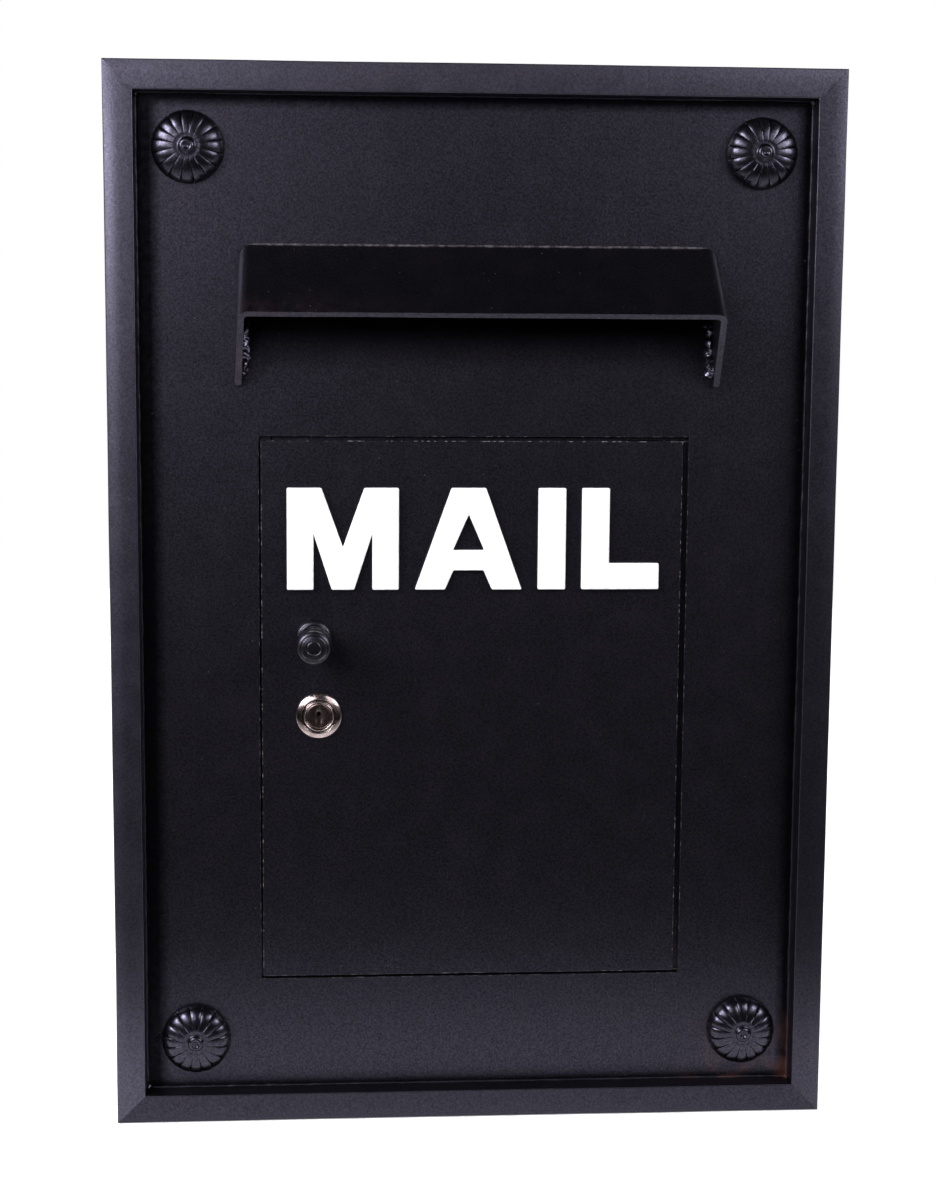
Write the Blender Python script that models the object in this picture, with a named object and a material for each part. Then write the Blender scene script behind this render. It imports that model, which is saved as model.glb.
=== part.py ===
"""Steel letter plate: a framed plate with a hooded letter slot and a small lockable door.

Metres, +Z up, the front faces -Y. The origin is the centre of the rear plane of the frame.
The door turns on two bolts at its right edge, and a cam lock holds its left edge.
"""

import math

import bmesh
import bpy
from mathutils import Matrix, Vector

# The gap left between two pieces that are welded together or seat on each other, the gap
# round a piece that turns, and the chamfer on turned edges.
SEAT = 0.0003
RUNNING = 0.00025
EDGE_BREAK = 0.0004

# A cutter is this many times as thick as what it cuts, starting one thickness behind it.
THROUGH = 3

# Frame of square bar, with the plate flush at its back.
FRAME_WIDTH = 0.350
FRAME_HEIGHT = 0.513
BAR = 0.014
BAR_ARRIS = 0.0012
PLATE = 0.0025

# Door, and the gaps round it.
DOOR_WIDTH = 0.2045
DOOR_HEIGHT = 0.2655
GAP_LATCH = 0.0010
GAP_HINGE = 0.0028
GAP_TOP = 0.0021
GAP_BOTTOM = 0.0012
OPENING_TOP_Z = 0.0816

# Hood: a flat strip bent to a U, its width sloping out and down from the plate.
HOOD_WIDTH = 0.2286
HOOD_CENTRE_X = 0.0015
HOOD_TOP_Z = 0.1720
HOOD_STRIP = 0.0460
HOOD_THICK = 0.0030
HOOD_SLOPE = math.radians(42.4)
HOOD_SPLAY = math.radians(3.0)
HOOD_BEND = 0.0050
HOOD_TIP_CUT = 0.0030

# Letter slot under the hood.
SLOT_WIDTH = 0.216
SLOT_HEIGHT = 0.0275
SLOT_BELOW_HOOD = 0.0050

# Raised letters on the door.
LETTER_HEIGHT = 0.0495
LETTER_STROKE = 0.0135
LETTER_THICK = 0.0030
LETTER_SPACE = 0.0078
LETTERS_FROM_EDGE = 0.0124
LETTERS_BELOW_TOP = 0.0225
WIDTH_M = 0.0540
WIDTH_A = 0.0520
WIDTH_L = 0.0380

# Pull knob.
KNOB_FROM_EDGE = 0.0252
KNOB_BELOW_TOP = 0.0955
KNOB_BASE_RADIUS = 0.0083
KNOB_LENGTH = 0.0345
KNOB_SCREW_RADIUS = 0.0025
KNOB_SOCKET_DEPTH = 0.0120
KNOB_SCREW_CLEAR = 0.0009

# Cam lock.
LOCK_FROM_EDGE = 0.0276
LOCK_BELOW_TOP = 0.1342
PLUG_RADIUS = 0.00625
PLUG_RECESS = 0.0006
LOCK_RING_WALL = 0.00055
LOCK_GROOVE = 0.0005
LOCK_BEVEL = 0.0026
LOCK_BARREL_WALL = 0.0025
LOCK_BARREL_LENGTH = 0.0160
LOCK_HEAD_LIP = 0.00235
LOCK_HEAD_THICK = 0.0026
LOCK_HEAD_SIDE = 0.0009
KEYWAY_WIDTH = 0.0018
KEYWAY_HEIGHT = 0.0080
KEYWAY_DEPTH = 0.0080
CAM_REACH = 0.0440
CAM_WIDTH = 0.0140
CAM_THICK = 0.0020
CAM_SCREW_RADIUS = 0.0020
CAM_SCREW_DEPTH = 0.0060

# Strips behind the edges of the opening, and the angle that the cam locks behind.
STOP_WIDTH = 0.0160
STOP_THICK = 0.0030
STOP_LAP = 0.0060
KEEPER_HEIGHT = 0.0300
KEEPER_FOOT = 0.0180

# Pivot hinge: bolts through a bracket on the plate and a lug on the door.
AXIS_FROM_EDGE = 0.0170
HINGE_BOLT_RADIUS = 0.0030
LUG_THICK = 0.0040
LUG_WIDTH = 0.0140
LUG_FROM_END = 0.0005
BUSH_WALL = 0.0011
BOLT_TAIL = 0.0015
BRACKET_GAP = 0.0045
BRACKET_CLEAR = 0.0005
BRACKET_FLANGE = 0.0160
BRACKET_WIDTH = 0.0360
COVER_WIDTH = 0.0160
COVER_THICK = 0.0015
COVER_PAST_EDGE = 0.0088

# Corner rosettes, held by studs.
ROSETTE_RADIUS = 0.0170
ROSETTE_HEIGHT = 0.0095
ROSETTE_FLANGE = 0.0010
ROSETTE_BOSS_RADIUS = 0.0042
ROSETTE_BOSS_HEIGHT = 0.0015
ROSETTE_FROM_SIDE = 0.0245
ROSETTE_FROM_END = 0.0252
STUD_RADIUS = 0.0030
STUD_BEHIND = 0.0200
STUD_SOCKET = 0.0030

# Fasteners.
NUT_FLATS = 0.0100
NUT_THICK = 0.0050
HEAD_THICK = 0.0040
WASHER_RADIUS = 0.0060
WASHER_THICK = 0.0012
LOCK_NUT_RIM = 0.0025
LOCK_NUT_THICK = 0.0040
SCREW_HEAD = 0.0026

# How finely round pieces are divided.
ROUND = 24
FINE_ROUND = 36
DOME_STEPS = 5

# Worked out from the sizes above.
PLATE_FRONT = -PLATE
SEAT_FRONT = PLATE_FRONT - SEAT
OPENING_WIDTH = DOOR_WIDTH + GAP_LATCH + GAP_HINGE
OPENING_HEIGHT = DOOR_HEIGHT + GAP_TOP + GAP_BOTTOM
OPENING_BOTTOM_Z = OPENING_TOP_Z - OPENING_HEIGHT
DOOR_LEFT = -OPENING_WIDTH / 2 + GAP_LATCH
DOOR_RIGHT = DOOR_LEFT + DOOR_WIDTH
DOOR_TOP = OPENING_TOP_Z - GAP_TOP
DOOR_BOTTOM = DOOR_TOP - DOOR_HEIGHT
DOOR_CENTRE = ((DOOR_LEFT + DOOR_RIGHT) / 2, (DOOR_TOP + DOOR_BOTTOM) / 2)
AXIS_X = DOOR_RIGHT - AXIS_FROM_EDGE
AXIS_BEHIND = SEAT + STOP_THICK + NUT_FLATS / math.sqrt(3) + SEAT
LUG_REACH = AXIS_BEHIND + NUT_FLATS / math.sqrt(3)
BRACKET_START = AXIS_X - AXIS_BEHIND - BRACKET_CLEAR
KNOB_X = DOOR_LEFT + KNOB_FROM_EDGE
KNOB_Z = DOOR_TOP - KNOB_BELOW_TOP
LOCK_X = DOOR_LEFT + LOCK_FROM_EDGE
LOCK_Z = DOOR_TOP - LOCK_BELOW_TOP
LOCK_BORE = PLUG_RADIUS + RUNNING
LOCK_BARREL_RADIUS = LOCK_BORE + LOCK_BARREL_WALL
LOCK_HEAD_RADIUS = LOCK_BARREL_RADIUS + LOCK_HEAD_LIP
LOCK_NUT_FLATS = 2 * (LOCK_BARREL_RADIUS + LOCK_NUT_RIM)
LOCK_REAR = SEAT_FRONT + LOCK_BARREL_LENGTH
CAM_FRONT = LOCK_REAR + 2 * SEAT

# Rotations: a flat outline drawn in XY, and turned work on Z, brought to face the front,
# and an outline drawn in YZ that is extruded along X.
FACING_FRONT = Matrix.Rotation(math.radians(90), 3, "X")
ALONG_X = Matrix(((0, 0, 1), (1, 0, 0), (0, 1, 0)))
UPRIGHT = Matrix.Identity(3)


def clear_scene():
    """Removes every object of the scene that the file opens with."""
    for obj in list(bpy.data.objects):
        bpy.data.objects.remove(obj, do_unlink=True)


def finish(name, colour, roughness, metallic=0.0):
    """A material with one Principled BSDF."""
    material = bpy.data.materials.new(name)
    material.use_nodes = True
    shader = material.node_tree.nodes["Principled BSDF"]
    shader.inputs["Base Color"].default_value = (*colour, 1.0)
    shader.inputs["Roughness"].default_value = roughness
    shader.inputs["Metallic"].default_value = metallic
    return material


def empty(name, place):
    """An empty on a joint's axis, which holds the pieces that turn about it."""
    holder = bpy.data.objects.new(name, None)
    bpy.context.collection.objects.link(holder)
    holder.location = place
    return holder


def put(name, shape, material, place=(0, 0, 0), turn=UPRIGHT, holder=None):
    """Makes a named object of a bmesh, at a place in the world, held by an empty if one is given."""
    bmesh.ops.recalc_face_normals(shape, faces=shape.faces)
    mesh = bpy.data.meshes.new(name)
    shape.to_mesh(mesh)
    shape.free()
    mesh.shade_smooth()
    mesh.set_sharp_from_angle(angle=math.radians(35))
    mesh.materials.append(material)
    obj = bpy.data.objects.new(name, mesh)
    bpy.context.collection.objects.link(obj)
    obj.rotation_euler = turn.to_euler()
    obj.location = Vector(place)
    if holder:
        obj.parent = holder
        obj.location -= holder.location
    return obj


def add_copy(obj, name, place):
    """Adds a second object at another place, with the same mesh."""
    twin = bpy.data.objects.new(name, obj.data)
    bpy.context.collection.objects.link(twin)
    twin.rotation_euler = obj.rotation_euler
    twin.location = place


def cut(obj, name, shape, place, turn=UPRIGHT):
    """Cuts a shape out of an object with a hidden cutter."""
    cutter = put(name, shape, obj.data.materials[0], place, turn)
    cutter.hide_render = True
    cutter.display_type = "WIRE"
    modifier = obj.modifiers.new(name, "BOOLEAN")
    modifier.operation = "DIFFERENCE"
    modifier.solver = "EXACT"
    modifier.object = cutter


def circle(radius, height, count=ROUND):
    """A ring of points round Z."""
    angles = (2 * math.pi * step / count for step in range(count))
    return [Vector((radius * math.cos(a), radius * math.sin(a), height)) for a in angles]


def hexagon(flats, height, count=ROUND):
    """A hexagon's outline as a ring of points round Z, with its corners among them."""
    points = []
    for step in range(count):
        angle = 2 * math.pi * step / count
        from_flat = (angle + math.radians(30)) % math.radians(60) - math.radians(30)
        radius = flats / 2 / math.cos(from_flat)
        points.append(Vector((radius * math.cos(angle), radius * math.sin(angle), height)))
    return points


def arc(centre, radius, start, end, steps):
    """Points of an arc in the XY plane, with its ends, angles in degrees."""
    turns = (math.radians(start + (end - start) * step / steps) for step in range(steps + 1))
    return [(centre[0] + radius * math.cos(a), centre[1] + radius * math.sin(a)) for a in turns]


def loft(rings, hollow=False):
    """Joins rings of equal count. Its ends are capped, or joined to each other if it is hollow."""
    shape = bmesh.new()
    rows = [[shape.verts.new(point) for point in ring] for ring in rings]
    pairs = list(zip(rows, rows[1:]))
    if hollow:
        pairs.append((rows[-1], rows[0]))
    else:
        shape.faces.new(rows[0])
        shape.faces.new(rows[-1])
    for low, high in pairs:
        for i in range(len(low)):
            j = (i + 1) % len(low)
            shape.faces.new((low[i], low[j], high[j], high[i]))
    return shape


def slab(outline, thick):
    """An outline in XY, extruded along Z."""
    return loft([[Vector((x, y, level)) for x, y in outline] for level in (0, thick)])


def rectangle(width, height, centre=(0, 0)):
    """The outline of a rectangle."""
    x, y = width / 2, height / 2
    corners = ((-x, -y), (x, -y), (x, y), (-x, y))
    return [(centre[0] + a, centre[1] + b) for a, b in corners]


def pin(radius, length, count=ROUND):
    """A plain round pin along Z."""
    return loft([circle(radius, 0, count), circle(radius, length, count)])


def collar(outer, inner, thick):
    """A washer or bush along Z."""
    rings = [circle(inner, 0), circle(outer, 0), circle(outer, thick), circle(inner, thick)]
    return loft(rings, hollow=True)


def nut(flats, bore, thick):
    """A hexagon nut along Z."""
    rings = [circle(bore, 0), hexagon(flats, 0), hexagon(flats, thick), circle(bore, thick)]
    return loft(rings, hollow=True)


def bolt(flats, head, radius, length):
    """A hexagon-headed bolt, its head above Z = 0 and its shank below."""
    rings = [hexagon(flats, head), hexagon(flats, 0), circle(radius, 0), circle(radius, -length)]
    return loft(rings)


def screw(head_radius, head, radius, length):
    """A round-headed screw, its head below Z = 0 and its shank above."""
    rings = [
        circle(head_radius * 0.6, -head),
        circle(head_radius, -head * 0.4),
        circle(head_radius, 0),
        circle(radius, 0),
        circle(radius, length),
    ]
    return loft(rings)


def bar(name, material, half_length, turn_degrees, half_across):
    """One side of the frame: square bar with mitred ends and eased long edges."""
    back_off = SEAT / math.sqrt(2)
    outer = half_length - back_off
    inner = outer - BAR
    outline = [(-outer, 0), (-inner, -BAR), (inner, -BAR), (outer, 0)]
    shape = slab(outline, BAR)
    shape.edges.ensure_lookup_table()
    long_edges = [e for e in shape.edges if abs((e.verts[0].co - e.verts[1].co).x) > BAR * 2]
    bmesh.ops.bevel(
        shape, geom=long_edges, offset=BAR_ARRIS, segments=2, profile=0.5, affect="EDGES"
    )
    spin = Matrix.Rotation(math.radians(turn_degrees), 3, "Z")
    bmesh.ops.translate(shape, verts=shape.verts, vec=(0, half_across, 0))
    bmesh.ops.rotate(shape, verts=shape.verts, cent=(0, 0, 0), matrix=spin)
    return put(name, shape, material, turn=FACING_FRONT)


def make_frame(paint):
    """The four sides of the frame."""
    for name, half_length, turn, half_across in (
        ("frame_top", FRAME_WIDTH / 2, 0, FRAME_HEIGHT / 2),
        ("frame_left", FRAME_HEIGHT / 2, 90, FRAME_WIDTH / 2),
        ("frame_bottom", FRAME_WIDTH / 2, 180, FRAME_HEIGHT / 2),
        ("frame_right", FRAME_HEIGHT / 2, 270, FRAME_WIDTH / 2),
    ):
        bar(name, paint, half_length, turn, half_across)


def rosette_places():
    """Name ending, x and z of each corner rosette."""
    x = FRAME_WIDTH / 2 - BAR - ROSETTE_FROM_SIDE
    z = FRAME_HEIGHT / 2 - BAR - ROSETTE_FROM_END
    ends = (("top", z), ("bottom", -z))
    sides = (("left", -x), ("right", x))
    return [(f"{end}_{side}", side_x, end_z) for end, end_z in ends for side, side_x in sides]


def make_plate(paint):
    """The front plate, with its letter slot, door opening and stud holes."""
    width = FRAME_WIDTH - 2 * BAR - 2 * SEAT
    height = FRAME_HEIGHT - 2 * BAR - 2 * SEAT
    plate = put("front_plate", slab(rectangle(width, height), PLATE), paint, turn=FACING_FRONT)
    middle_z = (OPENING_TOP_Z + OPENING_BOTTOM_Z) / 2
    slot_z = HOOD_TOP_Z - SLOT_BELOW_HOOD - SLOT_HEIGHT / 2
    holes = (
        ("door_opening", rectangle(OPENING_WIDTH, OPENING_HEIGHT), (0, middle_z)),
        ("letter_slot", rectangle(SLOT_WIDTH, SLOT_HEIGHT), (HOOD_CENTRE_X, slot_z)),
    )
    for name, outline, (x, z) in holes:
        cut(plate, name + "_cutter", slab(outline, THROUGH * PLATE), (x, PLATE, z), FACING_FRONT)
    for name, x, z in rosette_places():
        hole = pin(STUD_RADIUS + SEAT, THROUGH * PLATE)
        cut(plate, f"stud_hole_{name}_cutter", hole, (x, PLATE, z), FACING_FRONT)


def hood_profile(inset):
    """One line of the hood's bent strip as (x, along the legs), left leg end to right leg end.

    An inset of 0 gives the outer line, and one of the thickness gives the inner line.
    """
    half = HOOD_WIDTH / 2
    leg = HOOD_STRIP / math.tan(HOOD_SLOPE) - HOOD_TIP_CUT
    lean = math.tan(HOOD_SPLAY)
    left = arc((-half + HOOD_BEND, HOOD_BEND), HOOD_BEND - inset, 180, 270, 4)
    right = arc((half - HOOD_BEND, HOOD_BEND), HOOD_BEND - inset, 270, 360, 4)
    ends = half + (leg - HOOD_BEND) * lean - inset
    return [(-ends, leg), *left, *right, (ends, leg)]


def make_hood(paint):
    """The hood. Each line of its profile runs from the plate out along the slope."""
    outline = hood_profile(0) + hood_profile(HOOD_THICK)[::-1]
    outward = Vector((0, -math.cos(HOOD_SLOPE), -math.sin(HOOD_SLOPE)))
    along_leg = Vector((0, math.sin(HOOD_SLOPE), -math.cos(HOOD_SLOPE)))

    def point(x, down, out):
        return Vector((x, 0, 0)) + along_leg * down + outward * out

    at_plate = [point(x, down, down * math.tan(HOOD_SLOPE)) for x, down in outline]
    at_front = [point(x, down, HOOD_STRIP) for x, down in outline]
    put("letter_hood", loft([at_plate, at_front]), paint, (HOOD_CENTRE_X, SEAT_FRONT, HOOD_TOP_Z))


def make_stops(paint):
    """Strips behind the latch, top and bottom edges of the opening, which the door closes on."""
    left = -OPENING_WIDTH / 2 + STOP_LAP
    right = BRACKET_START - SEAT
    lengthwise = right - left - SEAT
    across = OPENING_HEIGHT + 2 * (STOP_WIDTH - STOP_LAP)
    middle_z = (OPENING_TOP_Z + OPENING_BOTTOM_Z) / 2
    reach = STOP_WIDTH / 2 - STOP_LAP
    behind = SEAT + STOP_THICK
    for name, width, height, x, z in (
        ("latch_side_stop", STOP_WIDTH, across, left - STOP_WIDTH / 2, middle_z),
        ("top_stop", lengthwise, STOP_WIDTH, (left + right) / 2 + SEAT, OPENING_TOP_Z + reach),
        ("bottom_stop", lengthwise, STOP_WIDTH, (left + right) / 2 + SEAT, OPENING_BOTTOM_Z - reach),
    ):
        shape = slab(rectangle(width, height), STOP_THICK)
        put(name, shape, paint, (x, behind, z), FACING_FRONT)


def make_keeper(paint):
    """The angle that the cam locks behind, on the plate beside the latch side stop."""
    standing_edge = -OPENING_WIDTH / 2 + STOP_LAP - STOP_WIDTH - SEAT
    reach = CAM_FRONT - 2 * SEAT
    outline = [
        (0, 0),
        (0, reach),
        (-STOP_THICK, reach),
        (-STOP_THICK, STOP_THICK),
        (-KEEPER_FOOT, STOP_THICK),
        (-KEEPER_FOOT, 0),
    ]
    place = (standing_edge, SEAT, LOCK_Z - KEEPER_HEIGHT / 2)
    put("lock_keeper", slab(outline, KEEPER_HEIGHT), paint, place)


def bracket_outline(leg_at):
    """A hinge bracket in (y, z): a flange on the plate from z = 0 up, and a leg that stands back."""
    return [
        (0, 0),
        (STOP_THICK, 0),
        (STOP_THICK, leg_at),
        (LUG_REACH, leg_at),
        (LUG_REACH, leg_at + LUG_THICK),
        (STOP_THICK, leg_at + LUG_THICK),
        (STOP_THICK, BRACKET_FLANGE),
        (0, BRACKET_FLANGE),
    ]


def make_hinge(name, end_z, inward, paint, zinc, door):
    """One pivot: a bracket on the plate, a lug on the door, a bush between, a bolt and its nut.

    end_z is the door's top or bottom edge, and inward is -1 or 1, towards the door's middle.
    """
    outline = bracket_outline(BRACKET_GAP - LUG_FROM_END - BRACKET_CLEAR)
    if inward > 0:
        outline = [(y, -z) for y, z in outline]
    start = end_z - inward * BRACKET_CLEAR
    place = (BRACKET_START, SEAT, start)
    bracket = put(f"hinge_bracket_{name}", slab(outline, BRACKET_WIDTH), paint, place, ALONG_X)
    bore_radius = HINGE_BOLT_RADIUS + SEAT
    leg_near = end_z - inward * (BRACKET_GAP - LUG_FROM_END)
    leg_low = min(leg_near, leg_near - inward * LUG_THICK)
    axis = (AXIS_X, AXIS_BEHIND)
    hole = pin(bore_radius, THROUGH * LUG_THICK)
    cut(bracket, f"bracket_bore_{name}_cutter", hole, (*axis, leg_low - LUG_THICK))

    lug_near = end_z + inward * LUG_FROM_END
    lug_low = min(lug_near, lug_near + inward * LUG_THICK)
    reach = LUG_REACH - SEAT
    lug_shape = slab(rectangle(LUG_WIDTH, reach), LUG_THICK)
    place = (AXIS_X, SEAT + reach / 2, lug_low)
    lug = put(f"door_lug_{name}", lug_shape, paint, place, holder=door)
    hole = pin(bore_radius, THROUGH * LUG_THICK)
    cut(lug, f"lug_bore_{name}_cutter", hole, (*axis, lug_low - LUG_THICK))

    low_lug, high_lug = sorted((leg_low, lug_low))
    bush_low = low_lug + LUG_THICK + SEAT
    bush = collar(bore_radius + BUSH_WALL, bore_radius, high_lug - SEAT - bush_low)
    put(f"hinge_bush_{name}", bush, zinc, (*axis, bush_low))
    head_at = high_lug + LUG_THICK + SEAT
    nut_top = low_lug - SEAT
    length = head_at - nut_top + NUT_THICK + BOLT_TAIL
    put(
        f"hinge_bolt_{name}",
        bolt(NUT_FLATS, HEAD_THICK, HINGE_BOLT_RADIUS, length),
        zinc,
        (*axis, head_at),
    )
    put(
        f"hinge_nut_{name}",
        nut(NUT_FLATS, bore_radius, NUT_THICK),
        zinc,
        (*axis, nut_top - NUT_THICK),
    )


def letter_outlines():
    """Each letter's name, outline and counter, its lower left corner at the origin."""
    high, stroke = LETTER_HEIGHT, LETTER_STROKE
    thin = stroke * 0.95
    m_half = WIDTH_M / 2
    m_shape = [
        (0, 0), (thin, 0), (thin, high * 0.55), (m_half - thin * 0.42, 0),
        (m_half + thin * 0.42, 0), (WIDTH_M - thin, high * 0.55), (WIDTH_M - thin, 0),
        (WIDTH_M, 0), (WIDTH_M, high), (WIDTH_M - thin * 1.3, high), (m_half, high * 0.42),
        (thin * 1.3, high), (0, high),
    ]
    a_half = WIDTH_A / 2
    foot = stroke * 1.08
    a_shape = [
        (0, 0), (foot, 0), (foot * 1.28, high * 0.19), (WIDTH_A - foot * 1.28, high * 0.19),
        (WIDTH_A - foot, 0), (WIDTH_A, 0),
        (a_half + stroke * 0.62, high), (a_half - stroke * 0.62, high),
    ]
    a_counter = [
        (a_half - stroke * 0.56, high * 0.39),
        (a_half + stroke * 0.56, high * 0.39),
        (a_half, high * 0.74),
    ]
    i_shape = [(0, 0), (stroke, 0), (stroke, high), (0, high)]
    l_shape = [(0, 0), (WIDTH_L, 0), (WIDTH_L, thin), (stroke, thin), (stroke, high), (0, high)]
    return (
        ("letter_m", m_shape, None, WIDTH_M),
        ("letter_a", a_shape, a_counter, WIDTH_A),
        ("letter_i", i_shape, None, stroke),
        ("letter_l", l_shape, None, WIDTH_L),
    )


def make_letters(enamel, door):
    """The raised letters, in a row across the door."""
    x = DOOR_LEFT + LETTERS_FROM_EDGE
    z = DOOR_TOP - LETTERS_BELOW_TOP - LETTER_HEIGHT
    for name, outline, counter, width in letter_outlines():
        place = (x, SEAT_FRONT, z)
        letter = put(name, slab(outline, LETTER_THICK), enamel, place, FACING_FRONT, door)
        if counter:
            hole = slab(counter, THROUGH * LETTER_THICK)
            behind = (x, SEAT_FRONT + LETTER_THICK, z)
            cut(letter, f"{name}_counter_cutter", hole, behind, FACING_FRONT)
        x += width + LETTER_SPACE


def make_leaf(paint, door):
    """The door leaf, bored for the knob's screw and the lock, with a strip over its hinge gap."""
    centre = (DOOR_CENTRE[0], 0, DOOR_CENTRE[1])
    leaf = put(
        "door_leaf",
        slab(rectangle(DOOR_WIDTH, DOOR_HEIGHT), PLATE),
        paint,
        centre,
        FACING_FRONT,
        door,
    )
    for name, radius, x, z in (
        ("knob_hole", KNOB_SCREW_RADIUS, KNOB_X, KNOB_Z),
        ("lock_hole", LOCK_BARREL_RADIUS, LOCK_X, LOCK_Z),
    ):
        hole = pin(radius + SEAT, THROUGH * PLATE)
        cut(leaf, f"{name}_cutter", hole, (x, PLATE, z), FACING_FRONT)
    cover = slab(rectangle(COVER_WIDTH, DOOR_HEIGHT), COVER_THICK)
    x = DOOR_RIGHT + COVER_PAST_EDGE - COVER_WIDTH / 2
    place = (x, SEAT + COVER_THICK, DOOR_CENTRE[1])
    put("hinge_gap_cover", cover, paint, place, FACING_FRONT, door)


def make_knob(paint, zinc, door):
    """The turned pull knob, with the screw and washer that hold it from behind."""
    base = KNOB_BASE_RADIUS
    socket = KNOB_SCREW_RADIUS + SEAT
    steps = (
        (socket, KNOB_SOCKET_DEPTH),
        (socket, 0),
        (base, 0),
        (base, 0.0030),
        (base * 0.80, 0.0042),
        (base * 0.72, 0.0100),
        (base * 0.78, 0.0165),
        (base * 0.99, 0.0185),
        (base * 0.99, 0.0210),
        (base * 0.86, 0.0222),
        (base * 0.86, 0.0242),
        (base * 0.93, 0.0255),
        (base * 0.93, KNOB_LENGTH - 0.0030),
        (base * 0.72, KNOB_LENGTH - 0.0008),
        (base * 0.36, KNOB_LENGTH),
    )
    knob = loft([circle(radius, height) for radius, height in steps])
    put("pull_knob", knob, paint, (KNOB_X, SEAT_FRONT, KNOB_Z), FACING_FRONT, door)
    washer = collar(WASHER_RADIUS, socket, WASHER_THICK)
    behind = SEAT + WASHER_THICK
    put("knob_washer", washer, zinc, (KNOB_X, behind, KNOB_Z), FACING_FRONT, door)
    head_at = behind + SEAT
    length = head_at - SEAT_FRONT + KNOB_SOCKET_DEPTH - KNOB_SCREW_CLEAR
    shape = screw(KNOB_SCREW_RADIUS * 1.8, SCREW_HEAD, KNOB_SCREW_RADIUS, length)
    put("knob_screw", shape, zinc, (KNOB_X, head_at, KNOB_Z), FACING_FRONT, door)


def make_lock_case(nickel, zinc, door):
    """The lock's barrel with its round head, and the washer and nut that hold it in the door."""
    back = -LOCK_BARREL_LENGTH
    ring = LOCK_BORE + LOCK_RING_WALL
    groove_floor = LOCK_HEAD_THICK - LOCK_GROOVE
    steps = (
        (LOCK_BORE, back),
        (LOCK_BORE, LOCK_HEAD_THICK),
        (ring, LOCK_HEAD_THICK),
        (ring + LOCK_GROOVE, groove_floor),
        (LOCK_HEAD_RADIUS - LOCK_BEVEL, groove_floor),
        (LOCK_HEAD_RADIUS, LOCK_HEAD_SIDE),
        (LOCK_HEAD_RADIUS, 0),
        (LOCK_BARREL_RADIUS, 0),
        (LOCK_BARREL_RADIUS, back),
    )
    barrel = loft([circle(radius, height, FINE_ROUND) for radius, height in steps], hollow=True)
    put("lock_barrel", barrel, nickel, (LOCK_X, SEAT_FRONT, LOCK_Z), FACING_FRONT, door)
    hole = LOCK_BARREL_RADIUS + SEAT
    washer = collar(LOCK_NUT_FLATS / 2, hole, WASHER_THICK)
    behind = SEAT + WASHER_THICK
    put("lock_washer", washer, zinc, (LOCK_X, behind, LOCK_Z), FACING_FRONT, door)
    behind += SEAT + LOCK_NUT_THICK
    shape = nut(LOCK_NUT_FLATS, hole, LOCK_NUT_THICK)
    put("lock_nut", shape, zinc, (LOCK_X, behind, LOCK_Z), FACING_FRONT, door)


def make_lock_plug(nickel, zinc, cylinder):
    """The plug that the key turns, with the cam on its rear end, held by a washer and a screw."""
    front = SEAT_FRONT - LOCK_HEAD_THICK + PLUG_RECESS
    rear = LOCK_REAR + SEAT
    screw_hole = CAM_SCREW_RADIUS + SEAT
    steps = (
        (screw_hole, CAM_SCREW_DEPTH),
        (screw_hole, 0),
        (PLUG_RADIUS, 0),
        (PLUG_RADIUS, rear - front - EDGE_BREAK),
        (PLUG_RADIUS - EDGE_BREAK, rear - front),
    )
    plug_shape = loft([circle(radius, height) for radius, height in steps])
    at = (LOCK_X, rear, LOCK_Z)
    plug = put("lock_plug", plug_shape, nickel, at, FACING_FRONT, cylinder)
    keyway = slab(rectangle(KEYWAY_WIDTH, KEYWAY_HEIGHT), 2 * KEYWAY_DEPTH)
    place = (LOCK_X, front + KEYWAY_DEPTH, LOCK_Z)
    cut(plug, "keyway_cutter", keyway, place, FACING_FRONT)

    half = CAM_WIDTH / 2
    top = arc((0, 0), half, 0, 180, 8)
    tip = arc((0, half - CAM_REACH), half, 180, 360, 8)
    at = (LOCK_X, CAM_FRONT + CAM_THICK, LOCK_Z)
    cam = put("lock_cam", slab(top + tip, CAM_THICK), zinc, at, FACING_FRONT, cylinder)
    hole = pin(screw_hole, THROUGH * CAM_THICK)
    place = (LOCK_X, CAM_FRONT + 2 * CAM_THICK, LOCK_Z)
    cut(cam, "cam_hole_cutter", hole, place, FACING_FRONT)

    behind = CAM_FRONT + CAM_THICK + SEAT + WASHER_THICK
    washer = collar(WASHER_RADIUS, screw_hole, WASHER_THICK)
    put("cam_washer", washer, zinc, (LOCK_X, behind, LOCK_Z), FACING_FRONT, cylinder)
    head_at = behind + SEAT
    length = head_at - rear + CAM_SCREW_DEPTH - SEAT
    shape = screw(CAM_SCREW_RADIUS * 2, SCREW_HEAD, CAM_SCREW_RADIUS, length)
    put("cam_screw", shape, zinc, (LOCK_X, head_at, LOCK_Z), FACING_FRONT, cylinder)


def rosette_shape():
    """A domed rosette with a raised boss, and a socket in its back for the stud."""
    socket = STUD_RADIUS + SEAT
    crown = ROSETTE_HEIGHT - ROSETTE_BOSS_HEIGHT
    rings = [circle(socket, STUD_SOCKET), circle(socket, 0), circle(ROSETTE_RADIUS, 0)]
    for step in range(DOME_STEPS):
        angle = math.radians(90 * step / DOME_STEPS)
        radius = ROSETTE_BOSS_RADIUS + (ROSETTE_RADIUS - ROSETTE_BOSS_RADIUS) * math.cos(angle)
        rings.append(circle(radius, ROSETTE_FLANGE + (crown - ROSETTE_FLANGE) * math.sin(angle)))
    rings.append(circle(ROSETTE_BOSS_RADIUS, crown))
    rings.append(circle(ROSETTE_BOSS_RADIUS * 0.8, ROSETTE_HEIGHT))
    return loft(rings)


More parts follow.
